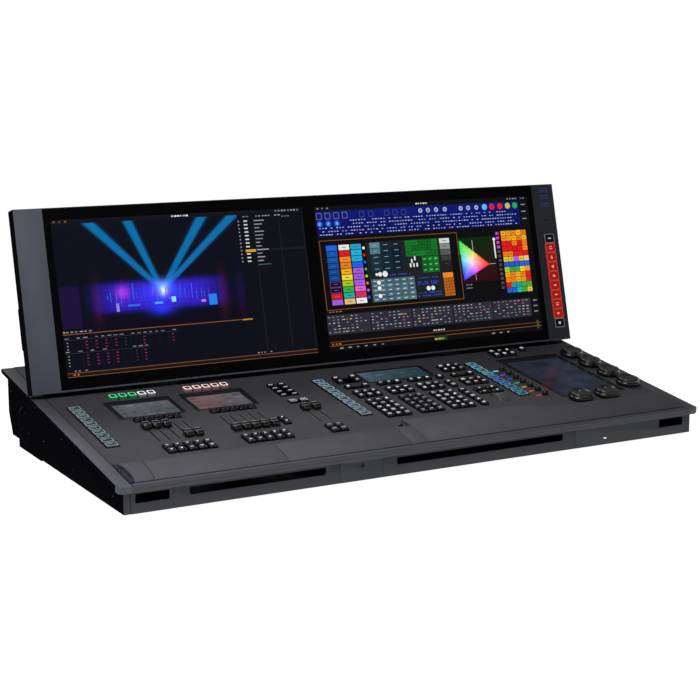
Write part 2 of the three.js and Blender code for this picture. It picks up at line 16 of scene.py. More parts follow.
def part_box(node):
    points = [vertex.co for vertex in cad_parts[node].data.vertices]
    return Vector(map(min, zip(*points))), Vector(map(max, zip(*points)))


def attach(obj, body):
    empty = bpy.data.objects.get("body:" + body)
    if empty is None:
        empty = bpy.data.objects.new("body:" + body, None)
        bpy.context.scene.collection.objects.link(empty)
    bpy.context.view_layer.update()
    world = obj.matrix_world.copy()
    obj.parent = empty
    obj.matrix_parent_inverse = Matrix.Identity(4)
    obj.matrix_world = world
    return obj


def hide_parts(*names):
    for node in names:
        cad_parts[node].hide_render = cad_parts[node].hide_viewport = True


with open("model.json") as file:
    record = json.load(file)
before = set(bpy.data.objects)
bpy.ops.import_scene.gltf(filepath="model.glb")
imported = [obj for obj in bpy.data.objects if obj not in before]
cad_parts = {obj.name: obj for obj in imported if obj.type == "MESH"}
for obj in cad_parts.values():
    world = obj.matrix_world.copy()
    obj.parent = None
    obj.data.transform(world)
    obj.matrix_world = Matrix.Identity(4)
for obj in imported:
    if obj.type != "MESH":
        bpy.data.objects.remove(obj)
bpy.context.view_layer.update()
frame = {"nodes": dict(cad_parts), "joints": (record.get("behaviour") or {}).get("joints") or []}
MM = 0.001
COLOUR = "Colour"  # the face-corner colours that lit and printed surfaces read
DICE = random.Random(7)
JOINTS = {joint["name"]: joint for joint in frame["joints"]}


# ---------------------------------------------------------------- frames


def face_frame(origin, up, out):
    """Millimetres on a face to the row frame: X across, Y up the face, Z out of it."""
    axes = Matrix((up.cross(out), up, out)).transposed().to_4x4()
    return Matrix.Translation(origin) @ axes @ Matrix.Scale(MM, 4)


def deck_frame():
    up = Vector(JOINTS["fader_1_slide"]["axis"])
    out = Vector(JOINTS["encoder_1_turn"]["axis"])
    on_deck = Vector(JOINTS["encoder_1_turn"]["pos_m"])
    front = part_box("front_lip")[0].y
    origin = on_deck + up * ((front - on_deck.y) / up.y)
    origin.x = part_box("left_cheek")[0].x
    return face_frame(origin, up, out)


def wing_frame():
    behind_front, above_foot = 0.044, 0.125  # the hinge line, seen from the wing's lower front edge
    inward = Vector(JOINTS["wing_keys_press"]["axis"])
    up = Vector((1, 0, 0)).cross(inward)
    origin = Vector(JOINTS["wing_tilt"]["pos_m"]) - behind_front * inward - above_foot * up
    origin.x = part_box("left_cheek")[0].x
    return face_frame(origin, up, -inward)


def upright_frame(corner, out):
    """A frame on an upright face, from the row-frame point at its lower left corner."""
    return face_frame(Vector(corner), Vector((0, 0, 1)), Vector(out))


DECK = deck_frame()
WING = wing_frame()
FASCIA_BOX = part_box("front_fascia")
BODY_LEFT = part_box("left_cheek")[0].x
BODY_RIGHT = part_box("right_cheek")[1].x
UNDERSIDE = FASCIA_BOX[0].z
FRONT = upright_frame((BODY_LEFT, FASCIA_BOX[0].y, UNDERSIDE), (0, -1, 0))
REAR_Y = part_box("rear_housing")[1].y
REAR = upright_frame((BODY_RIGHT, REAR_Y, UNDERSIDE), (0, 1, 0))
WING_THICKNESS = 29
WING_BACK = WING @ Matrix.Translation((0, 0, -WING_THICKNESS))


def span_on(place, node):
    """A CAD node's lowest and highest corners, in millimetres on a face."""
    back = place.inverted()
    points = [back @ vertex.co for vertex in frame["nodes"][node].data.vertices]
    low = Vector(min(point[i] for point in points) for i in range(3))
    high = Vector(max(point[i] for point in points) for i in range(3))
    return low, high


# ---------------------------------------------------------------- materials


def srgb(red, green, blue):
    """A display colour, 0 to 255, as the linear colour that shaders use."""

    def linear(value):
        value = value / 255
        return value / 12.92 if value <= 0.04045 else ((value + 0.055) / 1.055) ** 2.4

    return (linear(red), linear(green), linear(blue), 1.0)


def scaled(colour, factor):
    return (*(channel * factor for channel in colour[:3]), 1.0)


def new_material(name):
    material = bpy.data.materials.new(name)
    material.use_nodes = True
    tree = material.node_tree
    return material, tree, tree.nodes["Principled BSDF"]


def noise(tree, scale, detail=2.0, stretch=None):
    """Noise in the piece's own coordinates, with scale in waves a metre."""
    coordinates = tree.nodes.new("ShaderNodeTexCoord").outputs["Object"]
    texture = tree.nodes.new("ShaderNodeTexNoise")
    texture.inputs["Scale"].default_value = scale
    texture.inputs["Detail"].default_value = detail
    if stretch:
        mapping = tree.nodes.new("ShaderNodeMapping")
        mapping.inputs["Scale"].default_value = stretch
        tree.links.new(coordinates, mapping.inputs["Vector"])
        coordinates = mapping.outputs["Vector"]
    tree.links.new(coordinates, texture.inputs["Vector"])
    return texture.outputs["Fac"]


def ranged(tree, value, low, high, from_low=0.3, from_high=0.7):
    node = tree.nodes.new("ShaderNodeMapRange")
    node.inputs["From Min"].default_value = from_low
    node.inputs["From Max"].default_value = from_high
    node.inputs["To Min"].default_value = low
    node.inputs["To Max"].default_value = high
    tree.links.new(value, node.inputs["Value"])
    return node.outputs["Result"]


def mixed(tree, factor, first, second):
    node = tree.nodes.new("ShaderNodeMix")
    node.data_type = "RGBA"
    tree.links.new(factor, node.inputs["Factor"])
    node.inputs["A"].default_value = first
    node.inputs["B"].default_value = second
    return node.outputs["Result"]


def bumped(tree, shader, height, strength, distance):
    bump = tree.nodes.new("ShaderNodeBump")
    bump.inputs["Strength"].default_value = strength
    bump.inputs["Distance"].default_value = distance
    tree.links.new(height, bump.inputs["Height"])
    tree.links.new(bump.outputs["Normal"], shader.inputs["Normal"])


def surface(name, colour, roughness, grain, metallic=0.0, specular=0.5, relief=0.3, mottle=0.12):
    """Paint, plastic or metal: grain in waves a metre, patchy colour, and scuffs that change the gloss."""
    material, tree, shader = new_material(name)
    patches = noise(tree, 9, 5)
    specks = noise(tree, grain * 0.6, 3)
    both = tree.nodes.new("ShaderNodeMath")
    both.operation = "MULTIPLY_ADD"
    both.inputs[1].default_value = 0.5
    tree.links.new(patches, both.inputs[0])
    half = tree.nodes.new("ShaderNodeMath")
    half.operation = "MULTIPLY"
    half.inputs[1].default_value = 0.5
    tree.links.new(specks, half.inputs[0])
    tree.links.new(half.outputs[0], both.inputs[2])
    tone = ranged(tree, both.outputs[0], 0, 1, 0.35, 0.65)
    dark, light = scaled(colour, 1 - mottle), scaled(colour, 1 + mottle)
    tree.links.new(mixed(tree, tone, dark, light), shader.inputs["Base Color"])
    scuffs = noise(tree, 26, 7)
    gloss = ranged(tree, scuffs, roughness * 0.9, min(roughness * 1.12, 1))
    tree.links.new(gloss, shader.inputs["Roughness"])
    shader.inputs["Metallic"].default_value = metallic
    shader.inputs["Specular IOR Level"].default_value = specular
    bumped(tree, shader, noise(tree, grain, 4), relief, 0.0004)
    return material


def screen_glass(name, colour, roughness=0.07, specular=0.05):
    """Black cover glass with an anti-reflection coating and faint finger smears."""
    material, tree, shader = new_material(name)
    smears = noise(tree, 22, 4, (1, 2.5, 2.5))
    tone = ranged(tree, smears, 0, 1)
    tree.links.new(mixed(tree, tone, scaled(colour, 0.8), scaled(colour, 1.3)), shader.inputs["Base Color"])
    tree.links.new(ranged(tree, smears, roughness * 0.7, roughness * 1.9), shader.inputs["Roughness"])
    shader.inputs["Specular IOR Level"].default_value = specular
    bumped(tree, shader, noise(tree, 60, 2), 0.02, 0.0005)
    return material


def corner_colour(tree, grain, detail, low, high):
    """The mesh's own face-corner colour, made uneven between two shares of itself."""
    colour = tree.nodes.new("ShaderNodeVertexColor")
    colour.layer_name = COLOUR
    product = tree.nodes.new("ShaderNodeVectorMath")
    product.operation = "SCALE"
    tree.links.new(colour.outputs["Color"], product.inputs[0])
    tree.links.new(ranged(tree, noise(tree, grain, detail), low, high), product.inputs["Scale"])
    return product.outputs["Vector"]


def lit(name, strength, grain=300, specular=0.04, roughness=0.16):
    """A surface that gives out its face-corner colour: a picture on a display, a lamp or a lit legend."""
    material, tree, shader = new_material(name)
    tree.links.new(corner_colour(tree, grain, 2, 0.88, 1.08), shader.inputs["Emission Color"])
    shader.inputs["Emission Strength"].default_value = strength
    shader.inputs["Base Color"].default_value = (0.0015, 0.0015, 0.002, 1)
    smears = noise(tree, 25, 3)
    tree.links.new(ranged(tree, smears, roughness * 0.8, roughness * 1.5), shader.inputs["Roughness"])
    shader.inputs["Specular IOR Level"].default_value = specular
    return material


def printed(name):
    """Screen-printed ink in its face-corner colour, slightly uneven."""
    material, tree, shader = new_material(name)
    tree.links.new(corner_colour(tree, 700, 4, 0.7, 1.05), shader.inputs["Base Color"])
    shader.inputs["Roughness"].default_value = 0.6
    bumped(tree, shader, noise(tree, 1500, 2), 0.1, 0.0002)
    return material


def circuit_board(name):
    """Green solder mask with darker tracks."""
    material, tree, shader = new_material(name)
    tracks = ranged(tree, noise(tree, 160, 0, (6, 1, 1)), 0, 1, 0.47, 0.53)
    tree.links.new(mixed(tree, tracks, srgb(18, 70, 36), srgb(30, 104, 56)), shader.inputs["Base Color"])
    tree.links.new(ranged(tree, noise(tree, 30, 3), 0.3, 0.5), shader.inputs["Roughness"])
    bumped(tree, shader, tracks, 0.2, 0.0002)
    return material


CASE = surface("case_paint", srgb(46, 48, 52), 0.55, 1500, specular=0.25, mottle=0.06)
# Painted shade: the case paint made near black for the sideways faces, vents, side port covers and underside,
# where the light does not fall.
SHADE_PAINT = surface("side_painted_shade", srgb(11, 11, 13), 0.7, 1500, specular=0.0)
DECK_PAINT = surface("deck_paint", srgb(52, 52, 54), 0.7, 900, specular=0.25, relief=0.5, mottle=0.08)
LIP = surface("lip_paint", srgb(56, 57, 61), 0.5, 1500, specular=0.3, mottle=0.05)
TRIM = surface("trim_paint", srgb(62, 64, 69), 0.55, 420, specular=0.3, relief=0.5, mottle=0.3)
WING_METAL = surface("wing_metal", srgb(56, 59, 67), 0.6, 1800, specular=0.15, relief=0.2, mottle=0.05)
REST = surface("palm_rest_plastic", srgb(56, 56, 60), 0.6, 2200, specular=0.3, relief=0.25, mottle=0.04)
BLACK = surface("black_plastic", srgb(12, 12, 13), 0.27, 2600, relief=0.12)
KEY = surface("key_plastic", srgb(10, 10, 11), 0.24, 3000, relief=0.1)
SOFT_BLACK = surface("rubber_black", srgb(14, 14, 15), 0.45, 1800, relief=0.25)
RED_KEY = surface("red_key_plastic", srgb(120, 16, 14), 0.35, 2600, relief=0.12)
STEEL = surface("steel", srgb(150, 152, 158), 0.34, 2000, metallic=0.95, relief=0.15)
WHEEL = surface("wheel_plastic", srgb(62, 67, 66), 0.42, 1600, relief=0.2)
GLASS = screen_glass("display_glass", srgb(4, 4, 5))
GREY_GLASS = screen_glass("small_display_glass", srgb(30, 31, 34))
PANEL_GLASS = surface("wing_panel_black", srgb(32, 35, 40), 0.42, 2400, relief=0.12, specular=0.15)
PICTURE = lit("display_picture", 1.0)
LAMP = lit("lamp", 1.5, specular=0.3, roughness=0.35)
# Lit legends, and light marks on key and fader tops that are partly painted highlights.
LEGEND_AND_GLINT = lit("lit_legend_and_painted_glint", 1.0, specular=0.3, roughness=0.4)
INK = printed("printed_ink")
BOARD = circuit_board("circuit_board")


# ---------------------------------------------------------------- mesh building

WHITE = srgb(235, 238, 240)


def rounded_outline(width, length, radius, steps=3):
    """A rounded rectangle about the origin, counter-clockwise."""
    points = []
    for quarter, (side_x, side_y) in enumerate([(1, 1), (-1, 1), (-1, -1), (1, -1)]):
        centre_x = side_x * (width / 2 - radius)
        centre_y = side_y * (length / 2 - radius)
        for step in range(steps + 1):
            angle = math.radians(90) * (quarter + step / steps)
            points.append((centre_x + radius * math.cos(angle), centre_y + radius * math.sin(angle)))
    return points


def circle_outline(radius, count=24):
    step = 2 * math.pi / count
    return [(radius * math.cos(i * step), radius * math.sin(i * step)) for i in range(count)]


def moved(outline, x, y, turn=0.0):
    c, s = math.cos(turn), math.sin(turn)
    return [(x + px * c - py * s, y + px * s + py * c) for px, py in outline]


class Piece:
    """Closed solids gathered into one mesh, laid out in millimetres in one frame."""

    def __init__(self, name, place):
        self.name = name
        self.place = place
        self.mesh = bmesh.new()
        self.colour = self.mesh.loops.layers.float_color.new(COLOUR)
        self.materials = []

    def solid(self, points, faces, material, colours=WHITE):
        """One closed solid; colours is one colour, or one for each point."""
        if material not in self.materials:
            self.materials.append(material)
        index = self.materials.index(material)
        vertices = [self.mesh.verts.new(self.place @ Vector(point)) for point in points]
        for corners in faces:
            face = self.mesh.faces.new([vertices[i] for i in corners])
            face.material_index = index
            face.smooth = True
            for loop, corner in zip(face.loops, corners):
                loop[self.colour] = colours[corner] if isinstance(colours, list) else colours

    def loft(self, rings, material, colours=WHITE):
        """A solid through rings of equal counts, each a list of points, closed with a cap at each end."""
        count = len(rings[0])
        faces = [list(range(count))[::-1]]
        for ring in range(len(rings) - 1):
            low, high = ring * count, (ring + 1) * count
            for i in range(count):
                after = (i + 1) % count
                faces.append([low + i, low + after, high + after, high + i])
        last = (len(rings) - 1) * count
        faces.append(list(range(last, last + count)))
        self.solid([point for ring in rings for point in ring], faces, material, colours)

    def hoop(self, rings, material, colours=WHITE):
        """A closed band through rings of equal counts, the last joined to the first."""
        count = len(rings[0])
        faces = []
        for ring in range(len(rings)):
            start, end = ring * count, ((ring + 1) % len(rings)) * count
            for i in range(count):
                after = (i + 1) % count
                faces.append([start + i, start + after, end + after, end + i])
        self.solid([point for ring in rings for point in ring], faces, material, colours)

    def stack(self, outline, levels, material, x=0.0, y=0.0, colour=WHITE):
        """An outline about the origin, lofted through [share of its size, height] levels at (x, y)."""
        rings = [[(x + px * share, y + py * share, z) for px, py in outline] for share, z in levels]
        self.loft(rings, material, colour)

    def prism(self, outline, low, high, material, colour=WHITE):
        self.loft([[(x, y, z) for x, y in outline] for z in (low, high)], material, colour)

    def block(self, across, along, height, material, colour=WHITE):
        (x0, x1), (y0, y1) = across, along
        self.prism([(x0, y0), (x1, y0), (x1, y1), (x0, y1)], *height, material, colour)

    def shaded(self, across, along, height, cells, material, colour_at):
        """A slab whose top is a grid of cells that each take their corners' colours from colour_at(x, y)."""
        (x0, x1), (y0, y1), (low, high) = across, along, height
        columns, rows = cells
        points, colours = [], []
        for j in range(rows + 1):
            for i in range(columns + 1):
                x = x0 + (x1 - x0) * i / columns
                y = y0 + (y1 - y0) * j / rows
                points.append((x, y, high))
                colours.append(colour_at(x, y))
        wide = columns + 1
        faces = [
            [j * wide + i, j * wide + i + 1, (j + 1) * wide + i + 1, (j + 1) * wide + i]
            for j in range(rows)
            for i in range(columns)
        ]
        rim = list(range(columns))
        rim += [j * wide + columns for j in range(rows)]
        rim += [rows * wide + i for i in range(columns, 0, -1)]
        rim += [j * wide for j in range(rows, 0, -1)]
        base = len(points)
        for index in rim:
            x, y, _ = points[index]
            points.append((x, y, low))
            colours.append(colours[index])
        count = len(rim)
        for i in range(count):
            after = (i + 1) % count
            faces.append([base + i, base + after, rim[after], rim[i]])
        faces.append([base + i for i in range(count)][::-1])
        self.solid(points, faces, material, colours)

    def finish(self, body, slot=None, replaces=(), sharp=38):
        mesh = bpy.data.meshes.new(self.name)
        bmesh.ops.recalc_face_normals(self.mesh, faces=self.mesh.faces)
        self.mesh.to_mesh(mesh)
        self.mesh.free()
        for material in self.materials:
            mesh.materials.append(material)
        mesh.set_sharp_from_angle(angle=math.radians(sharp))
        made = bpy.data.objects.new(self.name, mesh)
        bpy.context.scene.collection.objects.link(made)
        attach(made, body)
        if replaces:
            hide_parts(*replaces)
        return made


def key_tops(node, place):
    """[x, y, width, length, height] of each raised flat top in a CAD key mat, on its face, rear row first."""
    back = place.inverted()
    turn = back.to_3x3().normalized()
    mesh = frame["nodes"][node].data
    groups = {}
    for polygon in mesh.polygons:
        if (turn @ polygon.normal).normalized().z < 0.999:
            continue
        corners = [tuple(round(value, 2) for value in back @ mesh.vertices[i].co) for i in polygon.vertices]
        if min(corner[2] for corner in corners) < 0.5:
            continue
        touching = [key for key in groups if any(corner in groups[key] for corner in corners)]
        merged = set(corners).union(*(groups.pop(key) for key in touching))
        groups[min(merged)] = merged
    tops = []
    for corners in groups.values():
        xs, ys, zs = zip(*corners)
        x, y = (min(xs) + max(xs)) / 2, (min(ys) + max(ys)) / 2
        tops.append((x, y, max(xs) - min(xs), max(ys) - min(ys), max(zs)))
    return sorted(tops, key=lambda top: (-round(top[1]), top[0]))


def softened(node, material, width, body="base", shaded_ends=None):
    """A CAD node's own shape, its flat faces made whole and its edges rounded. Its sideways faces may
    take a darker copy of the paint, as painted shade."""
    mesh = bmesh.new()
    mesh.from_mesh(frame["nodes"][node].data)
    bmesh.ops.remove_doubles(mesh, verts=mesh.verts, dist=2e-5)
    bmesh.ops.dissolve_limit(mesh, angle_limit=math.radians(0.6), verts=mesh.verts, edges=mesh.edges)
    for face in mesh.faces:
        face.smooth = True
        # Faces turned sideways take the second material: painted shade.
        face.material_index = 1 if shaded_ends and abs(face.normal.x) > 0.7 else 0
    data = bpy.data.meshes.new(node + "_shell")
    mesh.to_mesh(data)
    mesh.free()
    data.materials.append(material)
    if shaded_ends:
        data.materials.append(shaded_ends)
    made = bpy.data.objects.new(data.name, data)
    bpy.context.scene.collection.objects.link(made)
    rounding = made.modifiers.new("edges", "BEVEL")
    rounding.width = width * MM
    rounding.segments = 2
    rounding.limit_method = "ANGLE"
    rounding.angle_limit = math.radians(35)
    rounding.harden_normals = True
    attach(made, body)
    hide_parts(node)
    return made


def wear(node, material):
    """A CAD node whose shape is right keeps it, and takes this material."""
    slots = frame["nodes"][node].data.materials
    slots.clear()
    slots.append(material)


# ---------------------------------------------------------------- casing

CHEEK = 13  # thickness of each side
OVERHANG = 12.5  # of the deck's edge, past the sides and the front


def front_lip():
    """The grooved bead along the front, with rounded ends that carry the side rails round the corner."""
    piece = Piece("front_lip_bead", FRONT)
    width = (BODY_RIGHT - BODY_LEFT) / MM
    profile = [(46.5, 12.1), (47, 12.5), (50.2, 12.5), (51.3, 12.1), (52.3, 10.8), (52.9, 5.1), (52.5, 4.6)]
    profile += [(49.6, 4.5), (49.6, 0.3), (38, 0.3), (38, 9.2), (38.9, 10.3), (46.2, 10.4)]  # [up, out]
    piece.loft([[(x, up, out) for up, out in profile] for x in (CHEEK + 0.4, width - CHEEK - 0.4)], LIP)
    piece.finish("base", "trim", ["front_lip"], sharp=30)
    corners = Piece("front_lip_corners", DECK)
    depth, rear, radius = 12, 13.2, 11
    for side, outer in ((-1, -OVERHANG), (1, width + OVERHANG)):
        inner = CHEEK if side < 0 else width - CHEEK
        outline = [(inner, rear), (outer, rear)]
        for step in range(9):
            angle = math.radians(90) * step / 8
            across = outer - side * radius * (1 - math.cos(angle))
            outline.append((across, radius * (1 - math.sin(angle))))
        outline.append((inner, 0))
        centre = ((inner + outer) / 2, rear / 2)
        rings = []
        for share, z in [(0.9, -depth), (1, 1.5 - depth), (1, -1.2), (0.98, -0.4), (0.94, 0)]:
            ring = []
            for x, y in outline:
                along = y if y == rear else centre[1] + (y - centre[1]) * share
                ring.append((centre[0] + (x - centre[0]) * share, along, z))
            rings.append(ring)
        corners.loft(rings, TRIM)
    corners.finish("base", "trim")


def casing():
    """The painted shells with rounded edges, and the plainer parts that keep their own shape."""
    ends = ("left", "right")
    # The cheeks' sideways faces take the dark paint, painted shade where the light does not reach.
    for end in ends:
        softened(end + "_cheek", CASE, 1.2, shaded_ends=SHADE_PAINT)
    softened("front_fascia", CASE, 0.5)
    front_lip()
    # The deck trims' sideways faces take the dark paint as painted shade.
    for end in ends:
        softened("deck_trim_" + end, TRIM, 1.6, shaded_ends=SHADE_PAINT)
    softened("rear_housing", CASE, 0.8)
    for end in ends:
        softened("drawer_" + end, CASE, 0.5, "drawer_" + end)
    # The tray underneath is in the dark paint, painted shade under the desk.
    wear("bottom_tray", SHADE_PAINT)
    wear("deck_plate", DECK_PAINT)
    wear("power_supply", STEEL)
    wear("main_board", BOARD)
    for end in ends:
        wear("hinge_arm_" + end, STEEL)


def screw(piece, x, y, z, radius=3.0, finish=STEEL):
    """A low domed screw head with a six-lobed socket."""
    outline = circle_outline(radius, 20)
    piece.stack(outline, [(1, z - 0.3), (1, z + 0.35), (0.82, z + 0.8), (0.5, z + 0.95)], finish, x, y)
    lobes = []
    for i in range(24):
        angle = 2 * math.pi * i / 24
        reach = radius * (0.36 + 0.07 * math.cos(6 * angle))
        lobes.append((reach * math.cos(angle), reach * math.sin(angle)))
    piece.stack(lobes, [(1, z + 0.9), (1, z + 1.0)], SOFT_BLACK, x, y)


def side_details(name, place, mirror):
    """Round port cover and screws on one cheek, in the side's dark paint as painted shade. X runs forward or
    back from the fascia, Y up.
    """
    piece = Piece(name, place)
    port_x, port_y, port_radius, port_depth = 516 * mirror, 47, 34.4, 4
    ring = circle_outline(port_radius, 64)
    levels = [(1, -port_depth + 0.1), (1, -0.6), (0.985, 0), (0.93, 0), (0.915, -0.6), (0.9, -2.2)]
    levels += [(0.8, -2.6), (0.79, -2.0), (0.4, -1.7), (0.38, -2.1), (0.1, -2.1)]
    piece.stack(ring, levels, SHADE_PAINT, port_x, port_y)
    for i in range(3):
        angle = math.radians(90 + 120 * i)
        x, y = port_x + 24 * math.cos(angle), port_y + 24 * math.sin(angle)
        screw(piece, x, y, -2.1, 2.2, SHADE_PAINT)
    for x, y in [(45, 22), (240, 22), (400, 40), (590, 100), (445, 95), (300, 65)]:
        screw(piece, x * mirror, y, 0.1, 3.0, SHADE_PAINT)
    piece.finish("base", "black_plastic")


def cheek_sides():
    y = FASCIA_BOX[0].y
    left = upright_frame((BODY_LEFT, y, UNDERSIDE), (-1, 0, 0))
    right = upright_frame((BODY_RIGHT, y, UNDERSIDE), (1, 0, 0))
    side_details("port_cover_left", left, -1)
    side_details("port_cover_right", right, 1)


def fascia_details():
    """The round socket's collar, the small lamp on the right, and dark louvres and backs in the vents,
    painted shade in the openings.
    """
    socket_x, socket_y = 445.5, 27.7
    piece = Piece("headphone_socket", FRONT)
    count = 28
    profile = [(4.4, -3), (4.4, 0.1), (4.7, 0.4), (4.2, 0.6), (3.6, 0.4), (3.3, -0.4), (3.2, -3)]
    rings = []
    for radius, z in profile:
        rings.append([(socket_x + x, socket_y + y, z) for x, y in circle_outline(radius, count)])
    piece.loft(rings, BLACK)
    piece.prism(moved(circle_outline(3.1, count), socket_x, socket_y), -3.2, -2.6, SOFT_BLACK)
    piece.finish("base", "black_plastic")
    lamp = Piece("power_lamp", FRONT)
    outline = moved(rounded_outline(7, 2.2, 1.0), 982, 12.7)
    lamp.prism(outline, -0.3, 0.5, LAMP, srgb(200, 205, 210))
    lamp.finish("base", "lit_key")
    for name, (near, far) in {"vent_left": (21, 81), "vent_right": (1115, 1175)}.items():
        vent = Piece(name, FRONT)
        # Louvres and a back sheet in the dark shade paint: painted shade inside the vent opening.
        for i in range(7):
            y = 18.6 + i * 2.3
            vent.block((near + 0.4, far - 0.4), (y, y + 0.7), (-11, -6), SHADE_PAINT)
        vent.block((near - 2, far + 2), (16, 35), (-14, -12), SHADE_PAINT)
        vent.finish("base", "black_plastic")


def connector_round(piece, x, y, pins):
    """A latching round socket with its pin holes."""
    piece.stack(rounded_outline(26, 31, 2.5), [(1, -0.2), (1, 1.1), (0.97, 1.6)], BLACK, x, y)
    outline = circle_outline(11.2, 32)
    levels = [(1, 1.2), (1, 2.6), (0.95, 2.9), (0.86, 2.9), (0.84, 1.9), (0.3, 1.9)]
    piece.stack(outline, levels, SOFT_BLACK, x, y)
    for i in range(pins):
        angle = math.radians(-60 + 300 * i / max(pins - 1, 1))
        px, py = x + 5.6 * math.sin(angle), y + 5.6 * math.cos(angle)
        piece.stack(circle_outline(1.2, 12), [(1, 1.8), (1, 2.3), (0.4, 2.35)], STEEL, px, py)
    for side in (-1, 1):
        screw(piece, x + side * 10, y + side * 12.6, 1.5, 1.7)


def connector_slot(piece, x, y, width, height, tongue=True):
    """A square metal port with a dark mouth."""
    piece.stack(rounded_outline(width, height, 0.8), [(1, -0.2), (1, 1.6), (0.95, 1.8)], STEEL, x, y)
    piece.stack(rounded_outline(width - 1.6, height - 1.6, 0.5), [(1, 1.5), (1, 1.95)], SOFT_BLACK, x, y)
    if tongue:
        piece.block((x - width * 0.3, x + width * 0.3), (y - 0.6, y + 0.6), (1.9, 2.1), BLACK)


def rear_details():
    """Connector plate, cooling louvres and screws on the rear face."""
    plate = Piece("rear_connectors", REAR)
    plate_y, width = 92, (BODY_RIGHT - BODY_LEFT) / MM
    plate.stack(rounded_outline(560, 46, 4), [(1, -0.2), (1, 0.9), (0.998, 1.3)], SOFT_BLACK, 340, plate_y)
    for i in range(6):
        connector_round(plate, 92 + 36 * i, plate_y, 5)
    # [count, first x, pitch, above the middle, below it, width, height] of each double row of ports
    for count, first, pitch, above, below, wide, tall in [
        (3, 322, 24, 8, 9, 17, 14),
        (4, 400, 20, 8, 8, 14.5, 7),
        (2, 492, 26, 9, 9, 20, 8),
    ]:
        for i in range(count):
            for y in (plate_y + above, plate_y - below):
                connector_slot(plate, first + pitch * i, y, wide, tall)
    plate.stack(rounded_outline(30, 26, 2), [(1, 1.2), (1, 3.0), (0.97, 3.3)], BLACK, 575, plate_y)
    plate.stack(rounded_outline(25, 17, 4), [(1, 3.2), (1, 3.5)], SOFT_BLACK, 575, plate_y)
    for dx, dy in [(-6, -2), (0, 3), (6, -2)]:
        plate.block((574.2 + dx, 575.8 + dx), (plate_y + dy - 2.6, plate_y + dy + 2.6), (3.4, 4.0), STEEL)
    for x in (66, 614):
        for y in (-17, 17):
            screw(plate, x, plate_y + y, 1.2, 2.2)
    plate.finish("base", "black_plastic")
    louvres = Piece("rear_louvres", REAR)
    for i in range(26):
        x = 700 + i * 16
        louvres.stack(rounded_outline(9, 44, 4.4), [(1, -0.2), (1, 0.3), (0.8, 1.5)], CASE, x, plate_y)
        louvres.stack(rounded_outline(4, 38, 1.9), [(1, 1.2), (1, 1.7)], SOFT_BLACK, x, plate_y)
    for x in (20, width / 2, width - 20):
        screw(louvres, x, plate_y + 24, 0.1)
    louvres.finish("base", "case")


# ---------------------------------------------------------------- palm rests


SEAM_EDGE = [(0.0, 0.8), (0.4, 0.25), (1.2, 0.0)]  # [in from the seam, below the profile]


def rest_segment(piece, left_at, right_at, profile):
    """One moulded length between two seams, each an x for a place up the slope."""
    rings = [rest_ring(left_at, inset, drop, profile) for inset, drop in SEAM_EDGE]
    rings += [rest_ring(right_at, -inset, drop, profile) for inset, drop in reversed(SEAM_EDGE)]
    piece.loft(rings, REST)


def rest_ring(x_at, inset, drop, profile):
    floor = 0.3
    upper = [(x_at(y) + inset, y, max(z - drop, floor + 0.2)) for y, z in profile]
    return upper + [(x, y, floor) for x, y, _ in reversed(upper)]


def rest_profile(front, rear):
    """[up the slope, height]: a soft nose, a long low crown and a rounded step down to the deck."""
    points = [(front, 0.9), (front + 1.5, 1.5), (front + 4.5, 2.2), (22, 2.8), (32, 3.6), (42, 4.2)]
    points += [(rear - 24, 5.4), (rear - 14, 5.35), (rear - 6, 5.0)]
    points += [(rear - 2, 4.2), (rear - 0.4, 3.0), (rear, 1.6)]
    return points


def palm_rests():
    """The moulded hand rest: its lengths meet at curved seams, and it is deeper under the keypad."""
    front, shallow, deep, right_rear = 13.5, 92, 124, 96
    gap = 0.3

    def seam(x, side=0):
        return lambda y: x - 6 * (max(shallow - y, 0) / 80) ** 2 + side * gap

    def left_end(y):
        return 15 + 10.5 * math.sin(math.pi * min(max((y + 12) / 122, 0), 1))

    left = Piece("palm_rest_left_moulding", DECK)
    profile = rest_profile(front, shallow)
    rest_segment(left, left_end, seam(62, -1), profile)
    rest_segment(left, seam(62, 1), seam(308, -1), profile)
    rest_segment(left, seam(308, 1), seam(555, -1), profile)
    left.finish("base", "palm_rest", ["palm_rest_left"])

    right = Piece("palm_rest_right_moulding", DECK)
    rest_segment(right, seam(555, 1), seam(590, -1), profile)
    rings = [rest_ring(seam(590, 1), inset, drop, rest_profile(front, deep)) for inset, drop in SEAM_EDGE]
    for x, rear in [(878, deep), (882, deep - 5), (886, deep - 15), (890, right_rear + 5), (895, right_rear)]:
        rings.append(rest_ring(lambda y, x=x: x, 0, 0, rest_profile(front, rear)))
    last = rest_profile(front, right_rear)
    rings += [rest_ring(lambda y: 1179, -inset, drop, last) for inset, drop in reversed(SEAM_EDGE)]
    right.loft(rings, REST)
    right.finish("base", "palm_rest", ["palm_rest_right"])
    # A black sheet filling the gap at the rest's left end: painted shade in the gap, not an inlay.
    wedge = Piece("rest_end_painted_shadow", DECK)
    outline = [(left_end(y) - 0.5, y) for y in range(14, 93, 6)] + [(17, 97), (13.5, 97), (13.5, 14)]
    wedge.prism(outline, 0.2, 1.2, BLACK)
    wedge.finish("base", "black_plastic")
    # A black stub at the rests' corner, standing for the shadow in the corner gap: painted shade.
    corner_shadow = Piece("rest_corner_painted_shadow", DECK)
    corner_shadow.stack(rounded_outline(8, 5, 1.6), [(1, 1.0), (1, 3.4), (0.8, 3.8)], BLACK, 578, 105)
    corner_shadow.finish("base", "black_plastic")


# ---------------------------------------------------------------- keys, faders and dials

LED_GREEN = srgb(72, 214, 140)
LED_WHITE = srgb(225, 228, 235)
LED_PINK = srgb(250, 205, 205)


